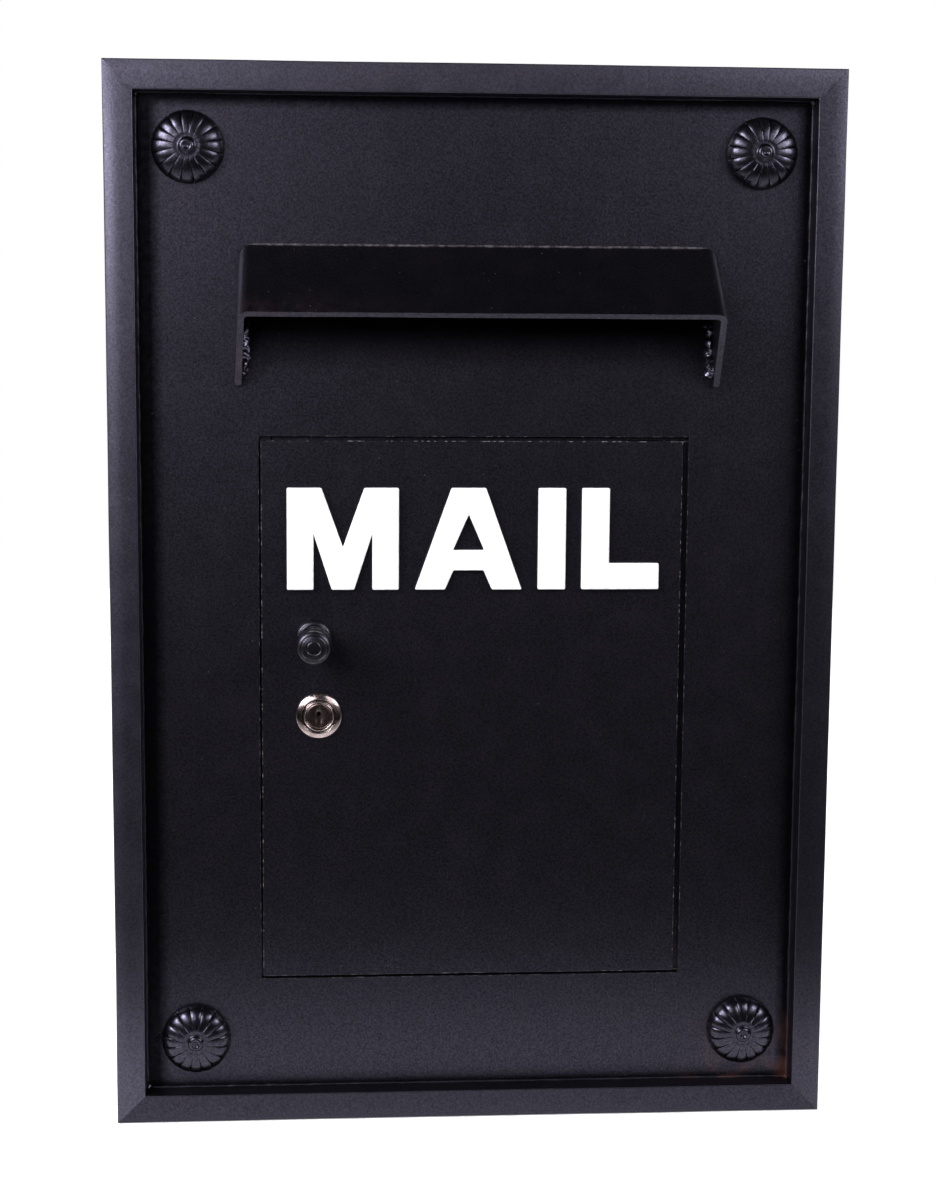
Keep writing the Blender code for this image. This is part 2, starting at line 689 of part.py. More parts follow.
def make_rosettes(paint, zinc):
    """Four rosettes on the plate's corners, each with its stud, washer and nut behind."""
    length = STUD_BEHIND - PLATE_FRONT + STUD_SOCKET - SEAT
    hole = STUD_RADIUS + SEAT
    behind_washer = SEAT + WASHER_THICK
    behind_nut = behind_washer + SEAT + NUT_THICK
    sets = (
        ("rosette", rosette_shape(), paint, SEAT_FRONT),
        ("rosette_stud", pin(STUD_RADIUS, length), zinc, STUD_BEHIND),
        ("stud_washer", collar(WASHER_RADIUS, hole, WASHER_THICK), zinc, behind_washer),
        ("stud_nut", nut(NUT_FLATS, hole, NUT_THICK), zinc, behind_nut),
    )
    first_name, first_x, first_z = rosette_places()[0]
    for kind, shape, material, back_y in sets:
        place = (first_x, back_y, first_z)
        first = put(f"{kind}_{first_name}", shape, material, place, FACING_FRONT)
        for name, x, z in rosette_places()[1:]:
            add_copy(first, f"{kind}_{name}", (x, back_y, z))


def main():
    """Builds the whole plate."""
    clear_scene()
    paint = finish("black_paint", (0.018, 0.018, 0.021), 0.42)
    gloss = finish("gloss_black", (0.012, 0.012, 0.014), 0.22)
    enamel = finish("white_enamel", (0.86, 0.86, 0.86), 0.35)
    nickel = finish("nickel", (0.70, 0.66, 0.62), 0.18, 1.0)
    zinc = finish("zinc", (0.55, 0.56, 0.58), 0.38, 1.0)
    make_frame(paint)
    make_plate(paint)
    make_hood(paint)
    make_stops(paint)
    make_keeper(paint)
    make_rosettes(gloss, zinc)
    door = empty("door_axis", (AXIS_X, AXIS_BEHIND, DOOR_CENTRE[1]))
    make_leaf(paint, door)
    make_letters(enamel, door)
    make_knob(gloss, zinc, door)
    make_lock_case(nickel, zinc, door)
    make_hinge("upper", DOOR_TOP, -1, paint, zinc, door)
    make_hinge("lower", DOOR_BOTTOM, 1, paint, zinc, door)
    cylinder = empty("lock_axis", (LOCK_X, LOCK_REAR, LOCK_Z))
    make_lock_plug(nickel, zinc, cylinder)


main()
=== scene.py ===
"""Looks of the steel letter plate: painted bar and sheet, cast rosettes, raised letters, a turned
knob and a nickel cam lock, with the pivots, stops and fasteners behind.

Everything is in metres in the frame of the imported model: +Z up, and the front faces -Y.
"""

import logging
import math
from dataclasses import dataclass
from enum import Enum
from functools import cache
from typing import Callable, Sequence

import bmesh
import bpy
from mathutils import Matrix, Vector, noise


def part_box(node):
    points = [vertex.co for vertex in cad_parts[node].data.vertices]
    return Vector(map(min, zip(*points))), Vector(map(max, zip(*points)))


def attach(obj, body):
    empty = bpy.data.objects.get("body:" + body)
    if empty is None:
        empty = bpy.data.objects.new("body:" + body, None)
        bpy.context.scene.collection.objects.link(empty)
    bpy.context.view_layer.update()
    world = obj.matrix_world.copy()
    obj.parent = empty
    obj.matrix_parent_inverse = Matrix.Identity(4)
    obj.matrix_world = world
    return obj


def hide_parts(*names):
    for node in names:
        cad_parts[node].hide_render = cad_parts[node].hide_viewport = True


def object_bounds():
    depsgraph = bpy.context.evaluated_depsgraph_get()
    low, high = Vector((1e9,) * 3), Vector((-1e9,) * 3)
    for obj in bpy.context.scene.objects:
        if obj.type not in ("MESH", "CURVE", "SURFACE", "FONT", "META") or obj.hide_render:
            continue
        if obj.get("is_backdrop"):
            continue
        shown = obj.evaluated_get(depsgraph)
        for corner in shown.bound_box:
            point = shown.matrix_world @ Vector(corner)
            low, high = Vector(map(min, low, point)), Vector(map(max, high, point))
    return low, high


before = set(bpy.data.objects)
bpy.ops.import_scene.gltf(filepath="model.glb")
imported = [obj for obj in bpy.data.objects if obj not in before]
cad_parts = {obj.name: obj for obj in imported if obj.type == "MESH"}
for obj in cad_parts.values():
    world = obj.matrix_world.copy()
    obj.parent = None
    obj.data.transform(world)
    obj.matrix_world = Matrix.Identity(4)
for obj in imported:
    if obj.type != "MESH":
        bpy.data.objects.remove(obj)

LOG = logging.getLogger("letter_plate")

Colour = tuple[float, float, float]
Point = tuple[float, float, float]
Line = list[tuple[float, float]]
Socket = bpy.types.NodeSocket

MM = 0.001
WANDER_SEED = 1
FULL_TURN = 2 * math.pi
WELD_WITHIN = 1e-6
SHARP = math.radians(30)
SMOOTH_UNDER = math.radians(40)
OUTWARDS = Vector((0, -1, 0))
WASHER_EDGE = 0.15 * MM
SCREW_EDGE = 0.2 * MM


class Body(Enum):
    """The bodies that pieces ride on."""

    PLATE = "root"
    DOOR = "door"
    CYLINDER = "lock_cylinder"


class Facing(Enum):
    """Which way a piece drawn along +Z points once it is in place, as a turn about X in degrees."""

    FRONT = 90
    BACK = -90
    UP = 0

    def matrix(self) -> Matrix:
        """The turn as a 4 x 4 matrix."""
        return Matrix.Rotation(math.radians(self.value), 4, "X")


class Nodes:
    """The nodes of one node tree, with short calls that add them and join them up."""

    def __init__(self, tree: bpy.types.NodeTree, coordinates: str) -> None:
        """Takes a tree, and the name of the coordinates that its patterns lie in."""
        self.tree = tree
        self.place = self.add("ShaderNodeTexCoord").outputs[coordinates]

    def add(self, kind: str, **settings: object) -> bpy.types.Node:
        """Adds a node.

        Args:
            kind: the node's Blender type.
            settings: its properties.

        Returns:
            The node.
        """
        node = self.tree.nodes.new(kind)
        for key, value in settings.items():
            setattr(node, key, value)
        return node

    def feed(self, target: Socket, source: Socket | float | Colour) -> None:
        """Gives an input its source, which is a socket, a number or a colour."""
        if isinstance(source, bpy.types.NodeSocket):
            self.tree.links.new(source, target)
        elif isinstance(source, tuple) and target.type == "RGBA":
            target.default_value = (*source, 1.0)
        else:
            target.default_value = source

    def axis(self, name: str) -> Socket:
        """One axis of the coordinates."""
        axes = self.add("ShaderNodeSeparateXYZ")
        self.feed(axes.inputs["Vector"], self.place)
        return axes.outputs[name]

    def noise(self, per_metre: float, detail: float = 2.0, stretch: Point = (1, 1, 1)) -> Socket:
        """Cloudy noise from 0 to 1.

        Args:
            per_metre: how many features a metre holds.
            detail: how many finer layers it has.
            stretch: how much denser it is along each axis.

        Returns:
            The noise's value.
        """
        scaled = self.add("ShaderNodeMapping", vector_type="POINT")
        self.feed(scaled.inputs["Vector"], self.place)
        scaled.inputs["Scale"].default_value = stretch
        node = self.add("ShaderNodeTexNoise")
        self.feed(node.inputs["Vector"], scaled.outputs["Vector"])
        node.inputs["Scale"].default_value = per_metre
        node.inputs["Detail"].default_value = detail
        return node.outputs["Fac"]

    def between(self, source: Socket, low: float, high: float, to: tuple[float, float] = (0, 1)) -> Socket:
        """The source's stretch from low to high, brought to another range and held within it."""
        node = self.add("ShaderNodeMapRange", clamp=True)
        names = ("Value", "From Min", "From Max", "To Min", "To Max")
        for name, value in zip(names, (source, low, high, *to)):
            self.feed(node.inputs[name], value)
        return node.outputs["Result"]

    def maths(self, operation: str, *values: Socket | float) -> Socket:
        """The result of a calculation."""
        node = self.add("ShaderNodeMath", operation=operation)
        for target, value in zip(node.inputs, values):
            self.feed(target, value)
        return node.outputs[0]

    def times(self, first: Socket, second: Socket | float) -> Socket:
        """The product of two values."""
        return self.maths("MULTIPLY", first, second)

    def mix(self, share: Socket | float, first: Socket | Colour, second: Socket | Colour) -> Socket:
        """A colour between two others."""
        node = self.add("ShaderNodeMix", data_type="RGBA")
        for number, value in ((0, share), (6, first), (7, second)):
            self.feed(node.inputs[number], value)
        return node.outputs[2]

    def cells(self, per_metre: float) -> tuple[Socket, Socket]:
        """An uneven grid: how far a point is from its cell's middle, and the cell's own value."""
        node = self.add("ShaderNodeTexVoronoi")
        self.feed(node.inputs["Vector"], self.place)
        node.inputs["Scale"].default_value = per_metre
        tone = self.add("ShaderNodeSeparateColor")
        self.feed(tone.inputs["Color"], node.outputs["Color"])
        return node.outputs["Distance"], tone.outputs["Red"]

    def specks(self, per_metre: float, size: float, share: float) -> Socket:
        """Small round spots, one in some of the cells of an uneven grid.

        Args:
            per_metre: how many cells a metre holds.
            size: the spots' radius, as a share of a cell.
            share: the share of the cells that have one.

        Returns:
            1 in a spot and 0 elsewhere.
        """
        from_middle, tone = self.cells(per_metre)
        spot = self.between(from_middle, size, size * 0.5)
        return self.times(spot, self.between(tone, share, share * 0.9))


class Recipe(Nodes):
    """The nodes of one material, round its Principled BSDF."""

    def __init__(self, name: str) -> None:
        """Starts a material of that name."""
        self.material = bpy.data.materials.new(name)
        self.material.use_nodes = True
        super().__init__(self.material.node_tree, "Object")
        self.shader = self.tree.nodes["Principled BSDF"]

    def set(self, **values: Socket | float | Colour) -> None:
        """Sets inputs of the Principled BSDF, named in lower case with underscores."""
        for key, value in values.items():
            self.feed(self.shader.inputs[key.replace("_", " ").title().replace("Ior", "IOR")], value)

    def rubbed(self, per_metre: float, detail: float, wear: tuple[float, float]) -> Socket:
        """Patches along a piece's eased edges, which its mesh marks as worn.

        Args:
            per_metre: how many patches a metre holds.
            detail: how ragged they are.
            wear: between which values of the noise a patch starts and is whole.

        Returns:
            1 in a patch and 0 elsewhere.
        """
        worn = self.add("ShaderNodeAttribute", attribute_name="worn").outputs["Fac"]
        return self.times(worn, self.between(self.noise(per_metre, detail), *wear))

    def within(self, *spans: tuple[str, float, float]) -> Socket | float:
        """Grows from 0 to 1 as a point passes from the first to the second value of each axis."""
        value: Socket | float = 1.0
        for axis, start, end in spans:
            value = self.times(self.between(self.axis(axis), start, end), value)
        return value

    def painted_recess_shade(self, inside: float) -> Socket:
        """Painted shade beside the bars: a value that fades from the middle of the plate towards them, standing in for
        the shade in the recess.

        Args:
            inside: the value away from the bars.

        Returns:
            The value, an eighth of that beside the bars.
        """
        low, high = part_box("front_plate")
        rough = self.between(self.noise(330, 4), 0.3, 0.7, (0.55, 1.5))
        clear = self.within(
            ("X", low.x + 6 * MM, low.x + 12 * MM),
            ("X", high.x - 2.5 * MM, high.x - 7 * MM),
            ("Z", high.z - 2.5 * MM, high.z - 7 * MM),
            ("Z", low.z, low.z + 3 * MM),
        )
        shine = self.between(clear, 0, 1, (inside * 0.12, inside))
        return self.times(shine, self.between(clear, 0, 1, (rough, 1.0)))

    def under_hood(self) -> Socket:
        """A value of 1 on the plate, which falls below the hood, where no light reaches."""
        low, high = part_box("letter_hood")
        soft = 7 * MM
        hidden = self.within(
            ("Z", low.z + soft, low.z + 27 * MM),
            ("Z", high.z, high.z - 3 * MM),
            ("X", low.x, low.x + soft),
            ("X", high.x, high.x - soft),
        )
        return self.between(hidden, 0, 1, (1.0, 0.08))

    def relief(self, *layers: tuple[Socket, float]) -> None:
        """Gives the surface a relief of several layers, each a height from 0 to 1 and its depth."""
        normal = None
        for height, depth in layers:
            bump = self.add("ShaderNodeBump")
            bump.inputs["Strength"].default_value = 1.0
            bump.inputs["Distance"].default_value = depth
            self.feed(bump.inputs["Height"], height)
            if normal:
                self.feed(bump.inputs["Normal"], normal)
            normal = bump.outputs["Normal"]
        self.feed(self.shader.inputs["Normal"], normal)


@dataclass(frozen=True)
class Paint:
    """Black paint on steel, from satin to gloss, with grain, dust and rubbed edges."""

    name: str
    slot: str = "black_paint"
    colour: Colour = (0.0011, 0.0010, 0.0014)
    dusty: Colour = (0.0026, 0.0022, 0.0030)
    roughness: tuple[float, float] = (0.355, 0.375)
    gloss: float = 0.5
    tint: Colour = (0.76, 0.72, 1.0)
    grain: float = 0.040 * MM
    waviness: float = 0.006 * MM
    grit: float = 0.45
    grit_per_metre: float = 1100
    dust: float = 0.35
    haze_per_metre: float = 70
    chips: float = 0.3
    wear: tuple[float, float] = (0.58, 0.68)
    rust: float = 0.0
    rust_colour: Colour = (0.070, 0.030, 0.024)
    rust_spots: float = 110
    rust_zone: tuple[tuple[str, float, float], ...] = (("X", 0.10, 0.162), ("Z", -0.205, -0.243))
    # Whether the gloss falls beside the bars and below the hood: painted shade for the recess and the hood's shadow.
    paints_recess_and_hood_shade: bool = False
    peel_per_metre: float = 620
    grain_per_metre: float = 2600
    clouds_per_metre: float = 16
    wear_per_metre: float = 520
    dust_cells_per_metre: float = 230
    dust_size: float = 0.055
    dust_colour: Colour = (0.20, 0.185, 0.195)
    bare_colour: Colour = (0.16, 0.15, 0.155)

    @cache
    def material(self) -> bpy.types.Material:
        """Builds the material, once."""
        recipe = Recipe(self.name)
        peel = recipe.noise(self.peel_per_metre, 3)
        fine = recipe.noise(self.grain_per_metre, 2)
        cloud = recipe.noise(self.clouds_per_metre, 2)
        haze = recipe.between(recipe.noise(self.haze_per_metre, 5), 0.42, 0.72)
        base = recipe.mix(recipe.times(haze, 0.4), self.colour, self.dusty)
        specks = recipe.specks(self.dust_cells_per_metre, self.dust_size, self.dust)
        specks = recipe.times(specks, recipe.between(fine, 0.3, 0.6))
        base = recipe.mix(recipe.times(specks, 0.75), base, self.dust_colour)
        rubbed = recipe.rubbed(self.wear_per_metre, 4, self.wear)
        base = recipe.mix(recipe.times(rubbed, self.chips), base, self.bare_colour)
        if self.rust:
            patch = recipe.within(*self.rust_zone)
            patch = recipe.times(patch, recipe.between(recipe.noise(self.rust_spots, 5), 0.40, 0.64))
            base = recipe.mix(recipe.times(patch, self.rust), base, self.rust_colour)
        grit = recipe.noise(self.grit_per_metre, 3)
        grit = recipe.between(grit, 0.3, 0.7, (1 - self.grit, 1 + self.grit))
        # Painted shade: the gloss is lowered beside the bars and below the hood, where shade falls.
        gloss = recipe.times(grit, recipe.painted_recess_shade(self.gloss) if self.paints_recess_and_hood_shade else self.gloss)
        if self.paints_recess_and_hood_shade:
            gloss = recipe.times(gloss, recipe.under_hood())
        recipe.set(base_color=base, roughness=recipe.between(haze, 0, 1, self.roughness))
        recipe.set(specular_ior_level=gloss, specular_tint=self.tint)
        recipe.relief((cloud, self.waviness), (peel, self.grain), (fine, self.grain * 0.8))
        return recipe.material


@dataclass(frozen=True)
class Enamel:
    """White enamel with a faint orange peel and a little dirt."""

    name: str
    slot: str = "white_enamel"
    colour: Colour = (0.84, 0.84, 0.85)
    grime_colour: Colour = (0.60, 0.60, 0.62)
    dirt_colour: Colour = (0.16, 0.15, 0.15)
    rubbed_colour: Colour = (0.35, 0.34, 0.34)

    @cache
    def material(self) -> bpy.types.Material:
        """Builds the material, once."""
        recipe = Recipe(self.name)
        peel = recipe.noise(900, 2)
        grime = recipe.between(recipe.noise(95, 5), 0.56, 0.80)
        base = recipe.mix(recipe.times(grime, 0.30), self.colour, self.grime_colour)
        specks = recipe.specks(260, 0.06, 0.22)
        base = recipe.mix(recipe.times(specks, 0.65), base, self.dirt_colour)
        rubbed = recipe.rubbed(420, 3, (0.52, 0.66))
        base = recipe.mix(recipe.times(rubbed, 0.30), base, self.rubbed_colour)
        recipe.set(base_color=base, roughness=recipe.between(grime, 0, 1, (0.34, 0.5)))
        recipe.relief((peel, 0.010 * MM))
        return recipe.material


@dataclass(frozen=True)
class Metal:
    """Plated metal with fine scratches, clouding and, for zinc, a spangle."""

    name: str
    slot: str
    colour: Colour
    clouded: Colour
    roughness: tuple[float, float]
    scratch: float = 0.004 * MM
    spangle: float = 0.0
    flakes_per_metre: float = 420
    flake_colour: Colour = (0.36, 0.36, 0.35)
    pit_colour: Colour = (0.20, 0.17, 0.15)

    @cache
    def material(self) -> bpy.types.Material:
        """Builds the material, once."""
        recipe = Recipe(self.name)
        cloud = recipe.between(recipe.noise(240, 4), 0.36, 0.68)
        lines = recipe.noise(900, 2, (1, 1, 5))
        pits = recipe.specks(900, 0.12, 0.3)
        base = recipe.mix(cloud, self.colour, self.clouded)
        if self.spangle:
            _, flake = recipe.cells(self.flakes_per_metre)
            base = recipe.mix(recipe.times(flake, self.spangle), base, self.flake_colour)
        base = recipe.mix(recipe.times(pits, 0.5), base, self.pit_colour)
        recipe.set(base_color=base, metallic=1.0, roughness=recipe.between(cloud, 0, 1, self.roughness))
        recipe.relief((lines, self.scratch), (cloud, self.scratch * 2))
        return recipe.material


@dataclass(frozen=True)
class Plaster:
    """The pale matt floor."""

    name: str = "pale_floor"
    colour: Colour = (0.90, 0.90, 0.90)
    glow: float = 0.42

    @cache
    def material(self) -> bpy.types.Material:
        """Builds the material, once."""
        recipe = Recipe(self.name)
        shade = recipe.noise(6, 3)
        recipe.set(base_color=recipe.mix(shade, self.colour, (0.93, 0.93, 0.93)), roughness=0.8)
        recipe.set(emission_color=(1.0, 1.0, 1.0), emission_strength=self.glow)
        recipe.relief((recipe.noise(240, 3), 0.05 * MM))
        return recipe.material


Finish = Paint | Enamel | Metal | Plaster

SATIN = Paint("satin_black_paint")
# The plate's paint carries painted shade beside the bars and below the hood.
PLATE_SATIN = Paint("satin_black_plate", dust=0.6, chips=0.8, wear=(0.52, 0.66), rust=0.75, paints_recess_and_hood_shade=True)
DOOR_SATIN = Paint("satin_black_door", dust=0.5, chips=0.8, wear=(0.52, 0.64))
# Lit and shaded copies of the bars' paint: glossier for the top and left bars as painted light, duller for the right
# and bottom bars as painted shade.
BAR_SATIN = Paint("satin_black_bar_painted_light", roughness=(0.36, 0.40), gloss=0.95, grit=0.3)
RIGHT_BAR_SHADED_SATIN = Paint("satin_black_right_bar_painted_shade", gloss=0.66, grit=0.35, chips=0.6)
LOW_BAR_SHADED_SATIN = Paint("satin_black_low_bar_painted_shade", gloss=0.48, grit=0.35)
HOOD_SATIN = Paint(
    "satin_black_hood", dust=1.2, chips=0.9, rust=0.55, rust_colour=(0.040, 0.021, 0.024), rust_spots=230,
    rust_zone=(("X", -0.02, -0.11), ("Z", 0.150, 0.120)),
)
LEG_WELD_GLOSS = Paint(
    "gloss_paint_on_leg_weld", roughness=(0.20, 0.30), gloss=0.9, grain=0.006 * MM, waviness=0.0, dust=0.2
)
# Lighter paint on the hood's back weld: rubbed paint, and a painted highlight along the bead.
RUBBED_SEAM_PAINTED_HIGHLIGHT = Paint(
    "rubbed_paint_and_painted_highlight_on_seam", colour=(0.014, 0.012, 0.014), dusty=(0.18, 0.165, 0.17), roughness=(0.40, 0.50),
    dust=0.9, haze_per_metre=420,
)
# Dark, dull paint on the walls of the open keyway: painted shade for the deep slot.
KEYWAY_PAINTED_SHADE = Paint("painted_shade_in_keyway", roughness=(0.6, 0.7), gloss=0.1, waviness=0.0, dust=0.0)
WELD_GLOSS = Paint(
    "thick_paint_on_weld", roughness=(0.26, 0.36), grain=0.006 * MM, waviness=0.0, dust=0.2, rust=0.8
)
CAST_GLOSS = Paint(
    "gloss_black_casting", slot="gloss_black", roughness=(0.25, 0.31), gloss=0.6, grain=0.006 * MM,
    waviness=0.0, dust=0.25,
)
SEAM = Paint("dusty_paint_in_seam", roughness=(0.40, 0.50), gloss=0.3, dust=0.9, rust=0.8)
KNOB_SATIN = Paint(
    "satin_black_knob", roughness=(0.29, 0.35), gloss=0.5, tint=(0.80, 0.80, 1.0), grain=0.006 * MM,
    waviness=0.0, dust=0.2,
)
WHITE = Enamel("white_enamel_letters")
NICKEL = Metal("warm_nickel", "nickel", (0.46, 0.385, 0.38), (0.28, 0.225, 0.225), (0.13, 0.24))
WORN_NICKEL = Metal("worn_nickel_plug", "nickel", (0.27, 0.21, 0.19), (0.065, 0.045, 0.040), (0.22, 0.34))
ZINC = Metal(
    "zinc_plate", "zinc", (0.62, 0.62, 0.60), (0.46, 0.45, 0.42), (0.30, 0.46), scratch=0.003 * MM,
    spangle=0.5,
)


def eased_line(points: Line, radius: float, steps: int = 4) -> Line:
    """Rounds off the inner corners of a line.

    Args:
        points: the line's points.
        radius: how far from a corner its rounding starts, less where a side is short.
        steps: how many pieces each rounding has.

    Returns:
        The line with its roundings.
    """
    line = [points[0]]
    for before, corner, after in zip(points, points[1:], points[2:]):
        corner = Vector(corner)
        ends = []
        for other in (Vector(before), Vector(after)):
            side = other - corner
            ends.append(corner + side.normalized() * min(radius, side.length * 0.45))
        for step in range(steps + 1):
            t = step / steps
            spot = ends[0] * (1 - t) ** 2 + corner * 2 * t * (1 - t) + ends[1] * t**2
            line.append((spot.x, spot.y))
    line.append(points[-1])
    return line


def circle(radius: float, height: float, count: int) -> list[Vector]:
    """A ring of points round Z."""
    turns = (FULL_TURN * step / count for step in range(count))
    return [Vector((radius * math.cos(a), radius * math.sin(a), height)) for a in turns]


class Form:
    """A mesh being made. Its loops hold how worn each face is."""

    def __init__(self, mesh: bmesh.types.BMesh | None = None) -> None:
        """Starts from nothing, or from a mesh."""
        self.mesh = mesh or bmesh.new()
        self.worn = self.mesh.loops.layers.float.new("worn")

    @classmethod
    def of_node(cls, node: str) -> "Form":
        """The shape of a CAD node, with its flat faces whole again."""
        shape = bmesh.new()
        shape.from_mesh(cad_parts[node].data)
        bmesh.ops.remove_doubles(shape, verts=shape.verts, dist=WELD_WITHIN)
        bmesh.ops.dissolve_limit(
            shape, angle_limit=math.radians(1), verts=shape.verts, edges=shape.edges
        )
        return cls(shape)

    @classmethod
    def skin(cls, rings: Sequence[Sequence[Vector]], looped: bool = False) -> "Form":
        """A closed skin over rings of equal count.

        Args:
            rings: the rings, in order.
            looped: whether the last ring joins the first, instead of both having caps.

        Returns:
            The form.
        """
        form = cls()
        rows = [[form.mesh.verts.new(point) for point in ring] for ring in rings]
        pairs = list(zip(rows, rows[1:]))
        if looped:
            pairs.append((rows[-1], rows[0]))
        else:
            form.mesh.faces.new(rows[0])
            form.mesh.faces.new(rows[-1])
        for low, high in pairs:
            for i in range(len(low)):
                j = (i + 1) % len(low)
                form.mesh.faces.new((low[i], low[j], high[j], high[i]))
        return form

    @classmethod
    def turned(cls, line: Line, count: int = 64, looped: bool = False) -> "Form":
        """A turned piece round Z, from a line of radii and heights."""
        return cls.skin([circle(radius, height, count) for radius, height in line], looped)

    def ease(self, radius: float, segments: int = 2) -> "Form":
        """Rounds every sharp edge, and marks the roundings as worn."""
        sharp = [e for e in self.mesh.edges if len(e.link_faces) == 2 and e.calc_face_angle() > SHARP]
        made = bmesh.ops.bevel(
            self.mesh, geom=sharp, offset=radius, segments=segments, profile=0.5, affect="EDGES",
            clamp_overlap=True,
        )
        for face in made["faces"]:
            for loop in face.loops:
                loop[self.worn] = 1.0
        return self

    def move(self, change: Callable[[Vector], Vector]) -> "Form":
        """Moves every point by a rule."""
        for vertex in self.mesh.verts:
            vertex.co = change(vertex.co)
        return self

    def placed(self, place: Vector | Point, facing: Facing) -> "Form":
        """Turns a piece drawn along +Z and puts its foot at a place."""
        self.mesh.transform(Matrix.Translation(Vector(place)) @ facing.matrix())
        return self

    def piece(self, name: str, finish: Finish, even: bool = True) -> bpy.types.Object:
        """Makes the object.

        Args:
            name: its name.
            finish: its finish.
            even: whether flat faces keep flat shading up to their rounded edges.

        Returns:
            The object, which rides on nothing yet.
        """
        bmesh.ops.recalc_face_normals(self.mesh, faces=self.mesh.faces)
        mesh = bpy.data.meshes.new(name)
        self.mesh.to_mesh(mesh)
        self.mesh.free()
        mesh.shade_smooth()
        mesh.set_sharp_from_angle(angle=SMOOTH_UNDER)
        mesh.materials.append(finish.material())
        made = bpy.data.objects.new(name, mesh)
        bpy.context.scene.collection.objects.link(made)
        if even:
            made.modifiers.new("even_shading", "WEIGHTED_NORMAL").keep_sharp = True
        return made


def carve(piece: bpy.types.Object, cutter: bpy.types.Object) -> None:
    """Cuts one object out of another for good, in the cutter's finish, and removes the cutter."""
    modifier = piece.modifiers.new("carve", "BOOLEAN")
    modifier.operation = "DIFFERENCE"
    modifier.material_mode = "TRANSFER"
    modifier.object = cutter
    piece.modifiers.move(len(piece.modifiers) - 1, 0)
    with bpy.context.temp_override(object=piece, active_object=piece, selected_objects=[piece]):
        bpy.ops.object.modifier_apply(modifier=modifier.name)
    bpy.data.objects.remove(cutter, do_unlink=True)
    piece.data.set_sharp_from_angle(angle=SMOOTH_UNDER)


class SubAssembly:
    """A unit of pieces that is put together on one or more bodies."""

    def keep(self, piece: bpy.types.Object, finish: Finish, body: Body, *nodes: str) -> bpy.types.Object:
        """Takes a finished piece into the unit.

        Args:
            piece: the piece.
            finish: the finish that it has; not used.
            body: the body that it rides on.
            nodes: the CAD nodes that it stands for.

        Returns:
            The piece.
        """
        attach(piece, body.value)
        if nodes:
            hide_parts(*nodes)
        faces = len(piece.data.polygons)
        LOG.info("%s: %s, %d faces, on %s", type(self).__name__, piece.name, faces, body.value)
        return piece

    def put(self, form: Form, name: str, finish: Finish, body: Body, *nodes: str) -> bpy.types.Object:
        """Makes a rounded form into a piece of the unit."""
        return self.keep(form.piece(name, finish, even=False), finish, body, *nodes)

    def ease_nodes(self, radius: float, finish: Finish, body: Body, *nodes: str) -> None:
        """Replaces CAD nodes by the same shapes with their edges eased."""
        for node in nodes:
            form = Form.of_node(node).ease(radius)
            self.keep(form.piece(f"{node}_eased", finish), finish, body, node)


@dataclass
class WeldBead:
    """A run of weld under paint: a lumpy round cord with ripples along it."""

    radius: float = 1.5 * MM
    lumps: float = 0.35
    lump_length: float = 4.5 * MM
    ripple: float = 0.14
    ripple_length: float = 2.2 * MM
    step: float = 1.2 * MM
    sides: int = 10
    end_steps: float = 4.0

    def walk(self, corners: Sequence[Vector], looped: bool) -> list[Vector]:
        """Evenly spaced points along a line through corners."""
        ends = list(corners) + ([corners[0]] if looped else [])
        points = []
        for start, end in zip(ends, ends[1:]):
            count = max(2, round((end - start).length / self.step))
            points += [start.lerp(end, i / count) for i in range(count)]
        return points if looped else points + [ends[-1]]

    def form(self, corners: Sequence[Vector], facing: Vector, looped: bool = False) -> Form:
        """Makes the bead.

        Args:
            corners: the line that it follows.
            facing: a direction that is never along the line.
            looped: whether the line closes on itself.

        Returns:
            The bead's form.
        """
        path = self.walk(corners, looped)
        rings = []
        for i, point in enumerate(path):
            ahead = path[(i + 1) % len(path)] if looped or i + 1 < len(path) else point
            behind = path[i - 1] if looped or i else point
            side = (ahead - behind).normalized().cross(facing).normalized()
            ripple = 1 + self.ripple * abs(math.sin(math.pi * i * self.step / self.ripple_length))
            end = 1.0 if looped else min(1.0, (min(i, len(path) - 1 - i) + 0.6) / self.end_steps)
            ring = []
            for j in range(self.sides):
                angle = FULL_TURN * j / self.sides
                out = side * math.cos(angle) + facing * math.sin(angle)
                lump = 1 + self.lumps * noise.noise((point + out * self.radius) / self.lump_length)
                ring.append(point + out * self.radius * lump * ripple * end)
            rings.append(ring)
        return Form.skin(rings, looped)


